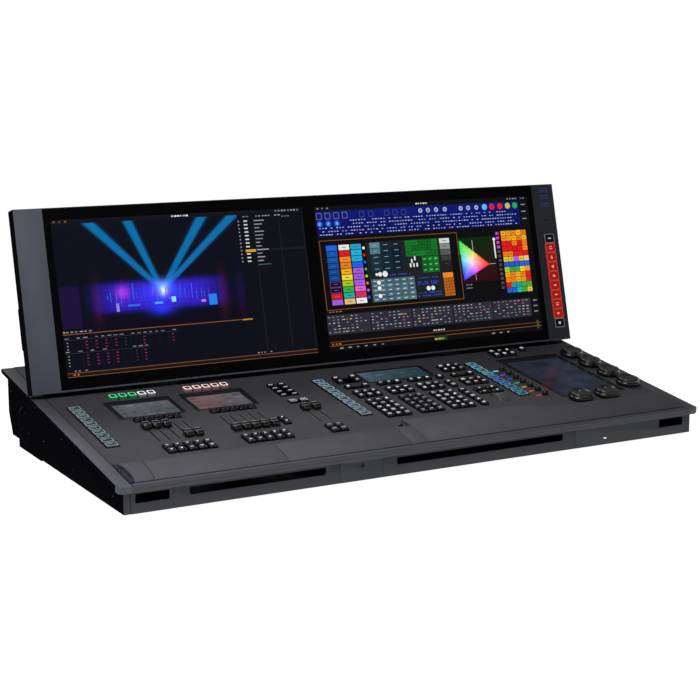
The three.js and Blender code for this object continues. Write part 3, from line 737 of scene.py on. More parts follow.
def key_cap(piece, x, y, width, length, height, material=KEY, radius=1.7):
    """A key with rounded corners, a rolled edge and a dished top. Width and length are of its top."""
    outline = rounded_outline(width / 0.88, length / 0.88, radius)
    levels = [(1, -1.5), (1, height - 1.7), (0.985, height - 0.9), (0.945, height - 0.3)]
    levels += [(0.88, height), (0.8, height - 0.1), (0.5, height - 0.5), (0.2, height - 0.62)]
    piece.stack(outline, levels, material, x, y)


def legend_and_glint_mark(piece, x, y, z, kind, size, colour, material=LEGEND_AND_GLINT):
    """A plain sign that glows unless given another material, also used as a painted highlight on key tops: a
    bar, two bars, a triangle, a square or a dot.
    """
    high = z + 0.08
    low = z - 0.35
    if kind == "bar":
        bar = moved(rounded_outline(size, size * 0.34, size * 0.1, 1), x, y)
        piece.prism(bar, low, high, material, colour)
    elif kind == "bars":
        for offset in (-0.27, 0.27):
            bar = rounded_outline(size, size * 0.24, size * 0.08, 1)
            piece.prism(moved(bar, x, y + offset * size), low, high, material, colour)
    elif kind == "triangle":
        outline = [(-0.4 * size, -0.4 * size), (0.5 * size, 0), (-0.4 * size, 0.4 * size)]
        piece.prism(moved(outline, x, y, DICE.choice([0, math.pi / 2, math.pi])), low, high, material, colour)
    elif kind == "square":
        piece.prism(moved(rounded_outline(size * 0.7, size * 0.7, 0.3, 1), x, y), low, high, material, colour)
    else:
        piece.prism(moved(circle_outline(size * 0.38, 12), x, y), low, high, material, colour)


def outline_ring(piece, x, y, z, width, length, line, material, colour):
    """A glowing frame round a key's top."""
    outer = rounded_outline(width, length, 2.2)
    inner = rounded_outline(width - 2 * line, length - 2 * line, 1.2)
    low, high = z - 0.4, z + 0.1
    rings = []
    for outline, height in [(outer, low), (outer, high), (inner, high), (inner, low)]:
        rings.append([(x + px, y + py, height) for px, py in outline])
    piece.hoop(rings, material, colour)


KINDS = ["bar", "bars", "triangle", "square", "dot", "bar"]


def plain_keys(piece, tops, brightness=(0.35, 1.0), share=0.5):
    """Black keys, each with a light mark towards the rear of its dished top: partly a lit legend, partly a
    painted highlight where the top catches the light from above and behind.
    """
    for x, y, width, length, height in tops:
        key_cap(piece, x, y, width, length, height)
        glow = DICE.uniform(*brightness)
        kind = DICE.choice(KINDS)
        size = min(width, length) * share
        # The mark is partly a legend, partly a painted highlight.
        legend_and_glint_mark(piece, x, y + length * 0.12, height, kind, size, scaled(LED_WHITE, glow))


def lit_key_cap(piece, x, y, width, length, height, colour):
    """A key whose clear walls and rim glow round a dark top."""
    outline = rounded_outline(width / 0.88, length / 0.88, 2.2)
    walls = [(1, -1.0), (1, height - 1.4), (0.96, height - 0.9), (0.88, height - 0.7)]
    piece.stack(outline, walls, LAMP, x, y, scaled(colour, 0.08))
    outline_ring(piece, x, y, height, width + 0.6, length + 0.6, 2.0, LAMP, colour)
    top = rounded_outline(width - 3, length - 3, 1.4)
    piece.stack(top, [(1, height - 1), (1, height + 0.1), (0.6, height)], KEY, x, y)
    outline_ring(piece, x, y, height + 0.2, width * 0.3, length * 0.3, 0.6, LEGEND_AND_GLINT, scaled(colour, 0.2))


def keypads():
    """Every group of keys, standing for the plain CAD mat under it."""
    modules = {"module_a_keys": [LED_GREEN] * 3 + [LED_WHITE] * 2, "module_b_keys": [LED_PINK] * 5}
    for node, led in modules.items():
        piece = Piece(node[:-5] + "_keycaps", DECK)
        tops = key_tops(node, DECK)
        for top, colour in zip(sorted(tops[:5]), led):
            lit_key_cap(piece, *top, colour)
        under_display = [top for top in tops[5:] if top[1] > 250]
        plain_keys(piece, under_display, (0.03, 0.12), 0.3)
        plain_keys(piece, [top for top in tops[5:] if top[1] <= 250], (0.6, 1.0), 0.4)
        piece.finish(node, "key", [node])
    piece = Piece("playback_keycaps", DECK)
    for x, y, width, length, height in key_tops("playback_keys", DECK):
        key_cap(piece, x, y, width, length, height)
        if 270 < y < 300:
            outline_ring(piece, x, y, height, width * 0.96, length * 0.96, 1.2, LAMP, scaled(LED_WHITE, 0.4))
        # The bar on each top is partly a legend, partly a painted highlight.
        legend = (x, y + length * 0.1, height, "bar", width * 0.6)
        legend_and_glint_mark(piece, *legend, scaled(LED_WHITE, 0.55 if y > 200 else 0.35))
    piece.finish("playback_keys", "key", ["playback_keys"])
    piece = Piece("keypad_keycaps", DECK)
    tops = key_tops("keypad_keys", DECK)
    quiet = [top for top in tops if 650 < top[0] < 710 and top[1] < 260]
    plain_keys(piece, [top for top in tops if top not in quiet], (0.45, 1.0), 0.62)
    plain_keys(piece, quiet, (0.2, 0.45), 0.55)
    piece.finish("keypad_keys", "key", ["keypad_keys"])
    piece = Piece("shortcut_keycaps", DECK)
    plain_keys(piece, key_tops("shortcut_keys", DECK), (0.6, 1.0), 0.6)
    piece.finish("shortcut_keys", "key", ["shortcut_keys"])


def lcd_key(piece, x, y, width, length, height, tint):
    """A clear key over its own small picture: a dim ground, a bright edge, a heading and a few blocks."""
    key_cap(piece, x, y, width, length, height, BLACK, 1.2)
    z = height + 0.05
    glow = DICE.uniform(0.85, 1.15)
    wide, tall = width * 0.96, length * 0.9
    ground = moved(rounded_outline(wide, tall, 0.8, 1), x, y)
    piece.prism(ground, z - 0.7, z, PICTURE, scaled(tint, 0.22 * glow))
    outline_ring(piece, x, y, z + 0.05, wide, tall, 1.3, PICTURE, scaled(tint, 2.1 * glow))
    left, heading = x - wide * 0.34, (y + tall * 0.12, y + tall * 0.28)
    title = (left, left + wide * DICE.uniform(0.3, 0.68))
    piece.block(title, heading, (z - 0.1, z + 0.1), PICTURE, scaled(tint, 1.4))
    for i in range(3):
        start = left + i * wide * 0.25
        shade = scaled(tint, DICE.choice([0.2, 0.3, 1.0]))
        block = (start, start + wide * 0.16), (y - tall * 0.3, y - tall * 0.08)
        piece.block(*block, (z - 0.1, z + 0.1), PICTURE, shade)


STRIP_TINTS = {
    "key_strip_1": [srgb(108, 122, 126)] * 10,
    "key_strip_2": [srgb(112, 134, 146)] * 10,
    "key_strip_3": [srgb(86, 142, 158)] * 4 + [srgb(66, 112, 162)] * 3 + [srgb(60, 116, 142)] * 3,
}


def key_strips():
    for node, tints in STRIP_TINTS.items():
        piece = Piece(node + "_caps", DECK)
        for top, tint in zip(key_tops(node, DECK), tints):
            lcd_key(piece, *top, tint)
        piece.finish(node, "lit_key", [node])


def fader_cap(node):
    """A dished cap with finger grooves, a centre line and a painted highlight along its rear crest, on its
    blade.
    """
    low, high = span_on(DECK, node)
    x, y = (low.x + high.x) / 2, (low.y + high.y) / 2
    piece = Piece(node + "_cap", DECK)
    half = [(0.5, 8.3), (0.5, 8.8), (1.2, 8.8), (3, 9.3), (4.6, 10.3), (5.8, 10.9), (7, 10.9)]
    half += [(8.2, 10), (9.2, 8.6), (9.9, 6.5), (10.1, 3), (10, 1)]  # [from the centre line, height]
    profile = [(-py, pz) for py, pz in reversed(half)] + half
    middle = 5.5
    rings = []
    for offset, share in [(-7.5, 0.9), (-7.2, 0.96), (-6.6, 1), (6.6, 1), (7.2, 0.96), (7.5, 0.9)]:
        rings.append([(x + offset, y + py * share, middle + (pz - middle) * share) for py, pz in profile])
    piece.loft(rings, KEY)
    piece.block((x - 6.4, x + 6.4), (y - 0.42, y + 0.42), (8.2, 8.75), LEGEND_AND_GLINT, scaled(LED_WHITE, 0.3))
    # A painted highlight along the cap's rear crest.
    piece.block((x - 5.6, x + 5.6), (y + 5.4, y + 7), (10.4, 10.98), LEGEND_AND_GLINT, scaled(LED_WHITE, 0.3))
    for side in (-1, 1):
        for step in range(3):
            groove = y + side * (2.2 + 1.25 * step)
            height = 9.1 + 0.62 * step
            piece.block((x - 6, x + 6), (groove - 0.2, groove + 0.2), (height - 1, height + 0.2), KEY)
    piece.block((x - 0.9, x + 0.9), (y - 3, y + 3), (low.z, 1.6), STEEL)
    piece.finish(node, "black_plastic", [node])


def printed_scales():
    """Eleven ticks beside each fader's slot, on the deck."""
    piece = Piece("fader_scales", DECK)
    grey = srgb(120, 122, 124)
    for index in range(1, 13):
        low, high = span_on(DECK, f"fader_{index}")
        x = (low.x + high.x) / 2
        for tick in range(11):
            y = 183 + 6 * tick
            reach = 2.6 if tick % 5 == 0 else 1.6
            for side in (-1, 1):
                near = x + side * 3.2
                far = x + side * (3.2 + reach)
                piece.block(sorted((near, far)), (y - 0.18, y + 0.18), (-0.1, 0.04), INK, grey)
    piece.finish("base", "deck")


def dial(node):
    """A two-tier dial: a ribbed skirt, a waist, and a dished top with a finger dimple."""
    low, high = span_on(DECK, node)
    x, y = (low.x + high.x) / 2, (low.y + high.y) / 2
    rim, top = (high.x - low.x) / 2, high.z
    count, ribs, rib_depth = 144, 48, 0.3
    # [from the edge, height, ribbed]
    profile = [(rim - 3, low.z, 0), (rim - 3, 1.4, 0), (1.2, 1.5, 0), (0.3, 2.3, 1), (0, 5, 1), (0.2, 7.4, 1)]
    profile += [(1.4, 8.7, 0), (2.4, 9.3, 0), (2.6, 10, 0), (2.8, top - 1.9, 0), (3.2, top - 0.7, 0)]
    profile += [(4.2, top, 0), (5.2, top, 0), (5.8, top - 0.5, 0), (7, top - 0.9, 0), (8.5, top - 1.15, 0)]
    profile += [(10.5, top - 1.4, 0), (13, top - 1.6, 0), (16, top - 1.75, 0), (19, top - 1.8, 0)]
    profile += [(22, top - 1.8, 0), (rim - 0.4, top - 1.8, 0)]
    dimple_y, dimple_radius, dimple_depth = 9.5, 6.8, 1.6
    rings = []
    for inset, z, ribbed in profile:
        ring = []
        for i in range(count):
            angle = 2 * math.pi * i / count
            reach = rim - inset - ribbed * rib_depth * (1 - math.cos(ribs * angle)) / 2
            px, py = reach * math.cos(angle), reach * math.sin(angle)
            near = math.hypot(px, py - dimple_y) / dimple_radius
            sunk = dimple_depth * (1 - near**2) ** 1.2 if near < 1 and inset > 6 and z > 11 else 0
            ring.append((x + px, y + py, z - sunk))
        rings.append(ring)
    piece = Piece(node + "_dial", DECK)
    piece.loft(rings, BLACK)
    piece.finish(node, "black_plastic", [node], sharp=50)


COLOUR_LIGHTS = [
    srgb(170, 225, 240),
    srgb(150, 70, 230),
    srgb(50, 90, 240),
    srgb(30, 200, 130),
    srgb(235, 170, 40),
    srgb(240, 90, 40),
    srgb(235, 60, 80),
]


def colour_dials():
    """Seven small knurled dials, each with a bar of its own colour in the deck beside it, and two dim wider
    plates round each bar that paint its glow on the deck.
    """
    lights = Piece("colour_dial_lights", DECK)
    for index, colour in enumerate(COLOUR_LIGHTS, 1):
        node = f"colour_encoder_{index}"
        low, high = span_on(DECK, node)
        x, y = (low.x + high.x) / 2, (low.y + high.y) / 2
        piece = Piece(node + "_dial", DECK)
        count, ribs = 96, 24
        rings = []
        profile = [(3, low.z, 0), (3, 1.1, 0), (6.1, 1.2, 0), (6.4, 1.8, 1), (6.1, 8.0, 1), (5.6, 9.0, 0)]
        for radius, z, ribbed in profile + [(4.8, 9.5, 0), (4.2, 9.4, 0), (1, 9.2, 0)]:
            ring = []
            for i in range(count):
                angle = 2 * math.pi * i / count
                reach = radius - ribbed * 0.16 * (1 - math.cos(ribs * angle))
                ring.append((x + reach * math.cos(angle), y + reach * math.sin(angle), z))
            rings.append(ring)
        piece.loft(rings, SOFT_BLACK)
        piece.finish(node, "black_plastic", [node], sharp=50)
        # The two wider, dimmer plates are painted light, the bar's glow on the deck round it; the third is
        # the lamp bar itself.
        painted_glow_and_bar = [((18, 15), 0.04, 0.03), ((15, 7), 0.08, 0.12), ((12, 2.2), 0.15, 1.0)]
        for (wide, tall), height, strength in painted_glow_and_bar:
            plate = moved(rounded_outline(wide, tall, tall * 0.45), x - 14.5, y + 0.5)
            lights.prism(plate, -0.3, height, LAMP, scaled(colour, strength))
    lights.finish("base", "lit_key")


def level_wheel():
    """A ribbed roller that shows a slice above the deck."""
    low, high = span_on(DECK, "level_wheel")
    x, y = (low.x + high.x) / 2, (low.y + high.y) / 2
    axle_end = 6
    z, radius, half = (low.z + high.z) / 2, (high.y - low.y) / 2, (high.x - low.x) / 2 - axle_end
    piece = Piece("level_wheel_roller", DECK)
    count, ribs = 160, 40

    def ring(offset, share, ribbed):
        points = []
        for i in range(count):
            angle = 2 * math.pi * i / count
            reach = radius * share - ribbed * 0.35 * (1 - math.cos(ribs * angle))
            points.append((x + offset, y + reach * math.cos(angle), z + reach * math.sin(angle)))
        return points

    levels = [(-half - axle_end, 0.1, 0), (-half, 0.1, 0), (-half, 0.93, 0), (-half + 0.8, 0.99, 1)]
    levels += [(-half + 1.8, 1, 1)]
    mirrored = [(-offset, share, ribbed) for offset, share, ribbed in reversed(levels)]
    piece.loft([ring(*level) for level in levels + mirrored], WHEEL)
    piece.finish("level_wheel", "wheel", ["level_wheel"], sharp=50)


# ---------------------------------------------------------------- small displays on the deck


def small_display(node, lit_across, lit_along, left_tint, right_tint):
    """A raised bezel round the glass, and a picture of tinted rows and cells."""
    low, high = span_on(DECK, node)
    wear(node, GREY_GLASS)
    x, y = (low.x + high.x) / 2, (low.y + high.y) / 2
    width, length = high.x - low.x, high.y - low.y
    bezel = Piece(node + "_bezel", DECK)
    outer, inner = rounded_outline(width + 3, length + 3, 4), rounded_outline(width - 5, length - 5, 2)
    rings = []
    for outline, z in [(outer, 0.05), (outer, 0.9), (inner, 0.6), (inner, -0.3)]:
        rings.append([(x + px, y + py, z) for px, py in outline])
    bezel.hoop(rings, SOFT_BLACK)
    bezel.finish("base", "black_plastic")
    picture = Piece(node + "_picture", DECK)
    (x0, x1), (y0, y1) = lit_across, lit_along
    base_z = high.z + 0.03

    def ground(px, py):
        share = (px - x0) / (x1 - x0)
        share = share * share * (3 - 2 * share)
        fade = 0.85 + 0.3 * (py - y0) / (y1 - y0)
        return tuple((a + (b - a) * share) * fade for a, b in zip(left_tint[:3], right_tint[:3])) + (1.0,)

    picture.shaded(lit_across, lit_along, (base_z - 0.02, base_z + 0.05), (12, 6), PICTURE, ground)
    rows, columns = 4, 5
    for row in range(rows):
        bottom = y0 + (row + 0.16) * (y1 - y0) / rows
        for column in range(columns):
            left = x0 + (column + 0.12) * (x1 - x0) / columns
            wide = (x1 - x0) / columns * DICE.uniform(0.3, 0.72)
            tint = scaled(ground(left, bottom), DICE.choice([0.55, 1.35, 1.6, 0.75]))
            tall = (y1 - y0) / rows * DICE.choice([0.2, 0.34, 0.5])
            place = (left, left + wide), (bottom, bottom + tall)
            picture.block(*place, (base_z, base_z + 0.1), PICTURE, tint)
    picture.finish("base", "screen")


def touch_display():
    """The large touch screen at the right: a dark slate page with a few panels."""
    wear("touchscreen", GREY_GLASS)
    low, high = span_on(DECK, "touchscreen")
    across, along = (low.x + 11, high.x - 12), (low.y + 7, high.y - 25)
    base_z = high.z + 0.03
    slate = srgb(34, 40, 54)
    picture = Piece("touchscreen_picture", DECK)

    def ground(_x, y):
        return scaled(slate, 0.8 + 0.35 * (y - along[0]) / (along[1] - along[0]))

    picture.shaded(across, along, (base_z - 0.02, base_z + 0.05), (8, 14), PICTURE, ground)
    for row in range(6):
        bottom = along[0] + 8 + row * 33
        for column in range(3):
            left = across[0] + 7 + column * 41
            tint = scaled(slate, DICE.choice([0.75, 1.15, 1.25]))
            picture.block((left, left + 35), (bottom, bottom + 26), (base_z, base_z + 0.1), PICTURE, tint)
    picture.finish("base", "screen")


def deck_displays():
    small_display("display_a", (114, 225), (301, 368), srgb(84, 90, 94), srgb(78, 86, 86))
    small_display("display_b", (262, 371), (302, 368), srgb(112, 84, 86), srgb(90, 90, 96))
    small_display("display_c", (645, 788), (341, 396), srgb(62, 84, 92), srgb(38, 60, 68))
    touch_display()


# ---------------------------------------------------------------- wing


def wing_body():
    # Its sideways faces take the dark paint as painted shade.
    softened("wing_shell", WING_METAL, 1.2, "wing", shaded_ends=SHADE_PAINT)
    wear("left_screen", GLASS)
    wear("right_screen", GLASS)
    wear("wing_key_panel", PANEL_GLASS)
    back = Piece("wing_back_details", WING_BACK @ Matrix.Rotation(math.pi, 4, "Y"))
    span = 1193
    for side in (0, 1):
        for i in range(22):
            x = -(150 + 14 * i) if side == 0 else -(span - 150 - 14 * i)
            back.stack(rounded_outline(7, 70, 3.4), [(1, -0.2), (1, 0.4), (0.8, 1.2)], WING_METAL, x, 250)
            back.stack(rounded_outline(3, 64, 1.4), [(1, 1.0), (1, 1.35)], SOFT_BLACK, x, 250)
    for x in (12, 300, 596, 893, 1181):
        for y in (22, 322):
            screw(back, -x, y, 0.1)
    back.finish("wing", "case")


def wing_keys():
    """Ten lit keys down the right of the wing, and the small signs above them."""
    tops = key_tops("wing_keys", WING)
    piece = Piece("wing_key_caps", WING)
    for index, (x, y, width, length, height) in enumerate(tops):
        ends = index in (0, len(tops) - 1)
        key_cap(piece, x, y, width, length, height, KEY if ends else RED_KEY, 1.2)
        z = height + 0.05
        tint = srgb(10, 10, 12) if ends else srgb(158, 20, 18)
        frame_tint = srgb(120, 122, 126) if ends else srgb(205, 70, 60)
        face = moved(rounded_outline(width * 0.97, length * 0.97, 1, 1), x, y)
        piece.prism(face, z - 0.4, z, PICTURE, tint)
        outline_ring(piece, x, y, z, width, length, 1.1, PICTURE, frame_tint)
        sign = srgb(170, 172, 176) if ends else srgb(235, 150, 140)
        legend_and_glint_mark(piece, x, y, z + 0.1, KINDS[index % len(KINDS)], length * 0.42, sign, PICTURE)
    piece.finish("wing_keys", "red_key", ["wing_keys"])
    signs = Piece("wing_panel_signs", WING)
    blue = srgb(46, 62, 120)
    top = span_on(WING, "wing_key_panel")[1].z
    centre = tops[0][0]
    for y in (332, 317, 299):
        for dx in (-6, 6):
            outline_ring(signs, centre + dx, y, top + 0.1, 9, 9, 1.2, PICTURE, blue)
    signs.block((centre - 8, centre + 8), (265.3, 266.7), (top - 0.1, top + 0.2), PICTURE, srgb(16, 17, 20))
    signs.finish("wing", "lit_key")


NAVY = srgb(10, 12, 24)
ORANGE_LINE = srgb(150, 92, 40)
GREY_TEXT = srgb(150, 152, 158)


class Page:
    """A picture on one of the wing's displays. Places are in millimetres on the wing."""

    def __init__(self, name, across, along, glass):
        self.piece = Piece(name, WING)
        self.base = span_on(WING, glass)[1].z + 0.05
        self.across, self.along = across, along

    def layer(self, level):
        return (self.base - 0.04, self.base + 0.05 + 0.06 * level)

    def rect(self, x0, x1, y0, y1, colour, level=1):
        self.piece.block((x0, x1), (y0, y1), self.layer(level), PICTURE, colour)

    def shape(self, outline, colour, level=2):
        self.piece.prism(outline, *self.layer(level), PICTURE, colour)

    def disc(self, x, y, radius, colour, level=3):
        self.shape(moved(circle_outline(radius, 16), x, y), colour, level)

    def shaded(self, x0, x1, y0, y1, cells, colour_at, level=1):
        self.piece.shaded((x0, x1), (y0, y1), self.layer(level), cells, PICTURE, colour_at)

    def frame(self, x0, x1, y0, y1, line, colour, level=2):
        self.rect(x0, x1, y0, y0 + line, colour, level)
        self.rect(x0, x1, y1 - line, y1, colour, level)
        self.rect(x0, x0 + line, y0 + line, y1 - line, colour, level)
        self.rect(x1 - line, x1, y0 + line, y1 - line, colour, level)

    def dashes(self, x0, x1, y, step, length, thick, colour, level=3, skip=0.2):
        """A row of short strokes, as a line of writing looks from afar."""
        x = x0
        while x + length < x1:
            if DICE.random() > skip:
                stroke = length * DICE.uniform(0.6, 1)
                shade = scaled(colour, DICE.uniform(0.5, 1.1))
                self.rect(x, x + stroke, y - thick / 2, y + thick / 2, shade, level)
            x += step

    def grid(self, x0, x1, y0, y1, columns, rows, colour_of, inset=0.6, level=2, mark=None):
        """A grid of tiles, row 0 at the top, with a short stroke on each where mark is a colour."""
        wide, tall = (x1 - x0) / columns, (y1 - y0) / rows
        for row in range(rows):
            top = y1 - row * tall
            for column in range(columns):
                colour = colour_of(row, column)
                left = x0 + column * wide
                self.rect(left + inset, left + wide - inset, top - tall + inset, top - inset, colour, level)
                if mark:
                    ends = (left + wide * 0.3, left + wide * 0.7)
                    middle = top - tall / 2
                    self.rect(*ends, middle - 0.6, middle + 0.6, mark, level + 1)

    def finish(self):
        self.piece.finish("wing", "screen")


def blended(first, second, share):
    return tuple(a + (b - a) * share for a, b in zip(first[:3], second[:3])) + (1.0,)


def added(first, second, amount):
    return tuple(min(a + b * amount, 1.0) for a, b in zip(first[:3], second[:3])) + (1.0,)


def bell(distance, width):
    return math.exp(-((distance / width) ** 2))


BEAM_SOURCE = (262, 176)
# [x from the source, half width] at the top of the view
BEAMS = [(-134, 11.5), (-56, 9), (98, 10.5), (164, 12)]
VIEW_TOP, VIEW_FOOT = 313, 107


def stage_view(x, y):
    """Colour of the stage visualiser at a point: four beams over a lit blue and violet stage."""
    colour = blended(srgb(12, 9, 24), NAVY, min(max((y - 120) / 60, 0), 1))
    source_x, source_y = BEAM_SOURCE
    rise = (y - source_y) / (VIEW_TOP - source_y)
    if rise > 0:
        for offset, half in BEAMS:
            edge = abs(x - source_x - offset * rise) / (half * (0.5 + 0.5 * rise))
            colour = added(colour, srgb(0, 108, 168), min(rise * 5, 1) / (1 + edge**8))
    across, up = (x - 256) / 120, (y - 168) / 27
    glow = math.exp(-(across**6) - up**6)
    stripes = 0.5 + 0.5 * math.sin(x * 0.9) * math.sin(x * 0.37 + 1.3)
    ripple = (0.65 + 0.35 * stripes) * (0.9 + 0.1 * math.sin(y * 0.8))
    colour = added(colour, srgb(58, 36, 226), glow * ripple)
    colour = added(colour, srgb(10, 60, 225), bell((x - 262) / 1.5, 26) * bell(y - 172, 17) * 0.9)
    colour = added(colour, srgb(120, 175, 235), bell((x - 264) / 1.6, 9) * bell(y - 182, 12) * 0.7)
    colour = added(colour, srgb(225, 220, 235), bell(x - 264, 6) * bell(y - 174, 8))
    colour = added(colour, srgb(185, 50, 160), bell(x - 181, 12) * bell(y - 177, 11) * 0.8)
    colour = added(colour, srgb(30, 50, 235), bell(x - 257, 22) * bell(y - 139, 9) * 0.9)
    for centre, shade in [(130, srgb(74, 14, 60)), (388, srgb(84, 14, 60)), (427, srgb(34, 10, 80))]:
        fold = 0.6 + 0.4 * math.sin(x * 1.7)
        colour = added(colour, shade, bell(x - centre, 9) * bell(y - 160, 38) * 0.7 * fold)
    if 57 < x < 96 and 115 < y < 195:
        colour = added(colour, srgb(32, 12, 70), 0.5)
    return colour


def left_page():
    """Stage visualiser, a cue table under it and a patch list on the right."""
    page = Page("left_screen_picture", (55.4, 582.4), (24.7, 321.2), "left_screen")
    (x0, x1), (y0, y1) = page.across, page.along
    page.rect(x0, x1, y0, y1, NAVY, 0)
    page.rect(x0, x1, VIEW_TOP, y1, srgb(17, 18, 24))
    page.shaded(x0 + 1, 436, VIEW_FOOT, VIEW_TOP, (190, 104), stage_view)
    for x, w, y, h, colour in [
        (357, 17, 140, 21, srgb(40, 130, 235)),
        (279, 9, 152, 10, srgb(150, 225, 245)),
        (244, 17, 150, 4, srgb(60, 180, 245)),
        (166, 6, 141, 16, srgb(150, 130, 235)),
        (341, 9, 147, 5, srgb(205, 120, 215)),
        (190, 24, 149, 4, srgb(40, 110, 230)),
    ]:
        page.rect(x, x + w, y, y + h, colour, 2)
    for i in range(26):
        x = 150 + i * 8.3 + DICE.uniform(-2, 2)
        foot = 160 + DICE.uniform(-6, 6)
        tint = DICE.choice([srgb(90, 70, 240), srgb(60, 120, 250), srgb(170, 80, 230)])
        page.rect(x, x + 1.1, foot, foot + DICE.uniform(8, 34), scaled(tint, 0.8), 2)
    page.rect(x0 + 1, 440, 105.2, 106.4, ORANGE_LINE, 2)
    page.rect(424, 445, 104, 106.6, srgb(190, 140, 40), 3)
    page.dashes(62, 120, 110, 9, 7, 2.0, GREY_TEXT)
    page.rect(57, 60, 108, 112, srgb(200, 130, 60), 3)
    cue_table(page)
    patch_list(page)
    page.rect(x0, x1, 29, 33, srgb(30, 24, 22), 1)
    page.rect(x0 + 2, x1 - 2, 33, 33.9, ORANGE_LINE, 2)
    page.rect(x0 + 2, x1 - 2, 26, 26.8, ORANGE_LINE, 2)
    page.dashes(60, 95, 29.8, 8, 6, 3, srgb(190, 110, 50))
    page.dashes(64, 100, 37, 7, 5, 2, GREY_TEXT)
    page.dashes(297, 334, 317.4, 6, 5.4, 2.8, WHITE, skip=0)
    page.dashes(60, 98, 317.4, 11, 5, 3.4, srgb(150, 100, 70), skip=0)
    page.dashes(520, 576, 317.4, 7, 5, 2.8, GREY_TEXT)
    page.finish()


def cue_table(page):
    """Two blocks of rows with magenta level marks in most columns."""
    magenta = srgb(150, 36, 112)
    for top, rows, right, columns in [
        (95, 3, 284, (100, 119.5, 139, 158, 177, 215, 274)),
        (70, 4, 224, (100, 119.5, 139, 158, 197, 215)),
    ]:
        page.rect(57, right, top, top + 0.6, srgb(60, 60, 68), 2)
        page.dashes(58, right, top + 3.2, 12, 9, 1.5, GREY_TEXT, skip=0.3)
        for row in range(rows):
            y = top - 5 - row * 6
            page.rect(61.6, 64, y - 1, y + 1, GREY_TEXT, 3)
            for x in columns:
                quiet = x in (177, 197)
                tint = srgb(60, 52, 70) if quiet else scaled(magenta, DICE.uniform(0.6, 1.1))
                page.rect(x - 2, x + 2, y - 0.9, y + 0.9, tint, 3)
        for column in range(12):
            x = 71 + column * 19.4
            if x < right:
                page.rect(x, x + 0.5, top - rows * 6 - 3, top, srgb(30, 30, 38), 2)


def patch_list(page):
    """Rows of short entries beside a narrow tag column, one of them picked out in yellow."""
    page.rect(441, 580, 36, 312, srgb(13, 14, 21), 2)
    for x in (470.5, 526, 579):
        page.rect(x, x + 0.6, 38, 300, srgb(46, 46, 52), 3)
    page.dashes(448, 532, 309, 7, 6, 2, GREY_TEXT, 4)
    page.dashes(528, 552, 306, 6, 5, 1.6, GREY_TEXT, 4)
    for row in range(12):
        y = 300 - row * 7.3
        page.rect(436.5, 439.5, y - 1.4, y + 1.4, scaled(GREY_TEXT, 0.8), 4)
        page.rect(449, 457, y - 1.3, y + 1.3, scaled(WHITE, 0.8), 4)
        length = DICE.uniform(8, 26)
        page.rect(471.5, 471.5 + length, y - 1, y + 1, scaled(GREY_TEXT, DICE.uniform(0.8, 1.2)), 4)
    page.rect(447, 469, 238, 243, srgb(222, 165, 36), 5)
    page.rect(469, 579, 238.5, 242.5, srgb(26, 27, 34), 3)
    page.rect(471, 500, 211, 212.6, srgb(40, 110, 110), 4)
    page.dashes(448, 492, 37.5, 7, 5, 1.8, GREY_TEXT, 4)


PALETTE = {
    "red": srgb(228, 28, 30),
    "crimson": srgb(232, 52, 100),
    "orange": srgb(246, 134, 26),
    "amber": srgb(248, 172, 26),
    "yellow": srgb(238, 206, 54),
    "lime": srgb(168, 204, 30),
    "green": srgb(64, 184, 72),
    "teal": srgb(30, 180, 164),
    "cyan": srgb(34, 178, 222),
    "blue": srgb(30, 96, 218),
    "navy": srgb(22, 78, 158),
    "violet": srgb(176, 96, 228),
    "pink": srgb(230, 104, 212),
    "sand": srgb(242, 196, 136),
    "white": srgb(240, 240, 240),
    "grey": srgb(120, 118, 118),
    "dark": srgb(12, 12, 18),
}
COLOUR_COLUMNS = [
    "blue navy navy navy navy navy dark dark red violet",
    "white red orange orange amber yellow lime green teal sand",
    "cyan cyan cyan blue violet violet violet pink crimson white",
]
PICKER_ROWS = [
    "amber amber orange amber orange",
    "orange amber amber orange amber",
    "red red orange red orange",
    "red red red red orange",
    "orange orange red red red",
    "yellow yellow violet yellow sand",
    "blue blue blue blue blue",
    "lime green green yellow amber",
    "amber orange amber orange red",
    "orange orange amber amber red",
    "red teal teal green green",
    "blue blue teal green yellow",
]


def tinted(name):
    """A palette colour, a little lighter or darker each time."""
    return scaled(PALETTE[name], DICE.uniform(0.82, 1.12))


def named_cells(names):
    """What Page.grid asks for each cell's colour, from rows of palette names."""
    return lambda row, column: tinted(names[row][column])


def varied(colour, low, high):
    """The same for a grid whose cells are lighter or darker versions of one colour."""
    return lambda _row, _column: scaled(colour, DICE.uniform(low, high))


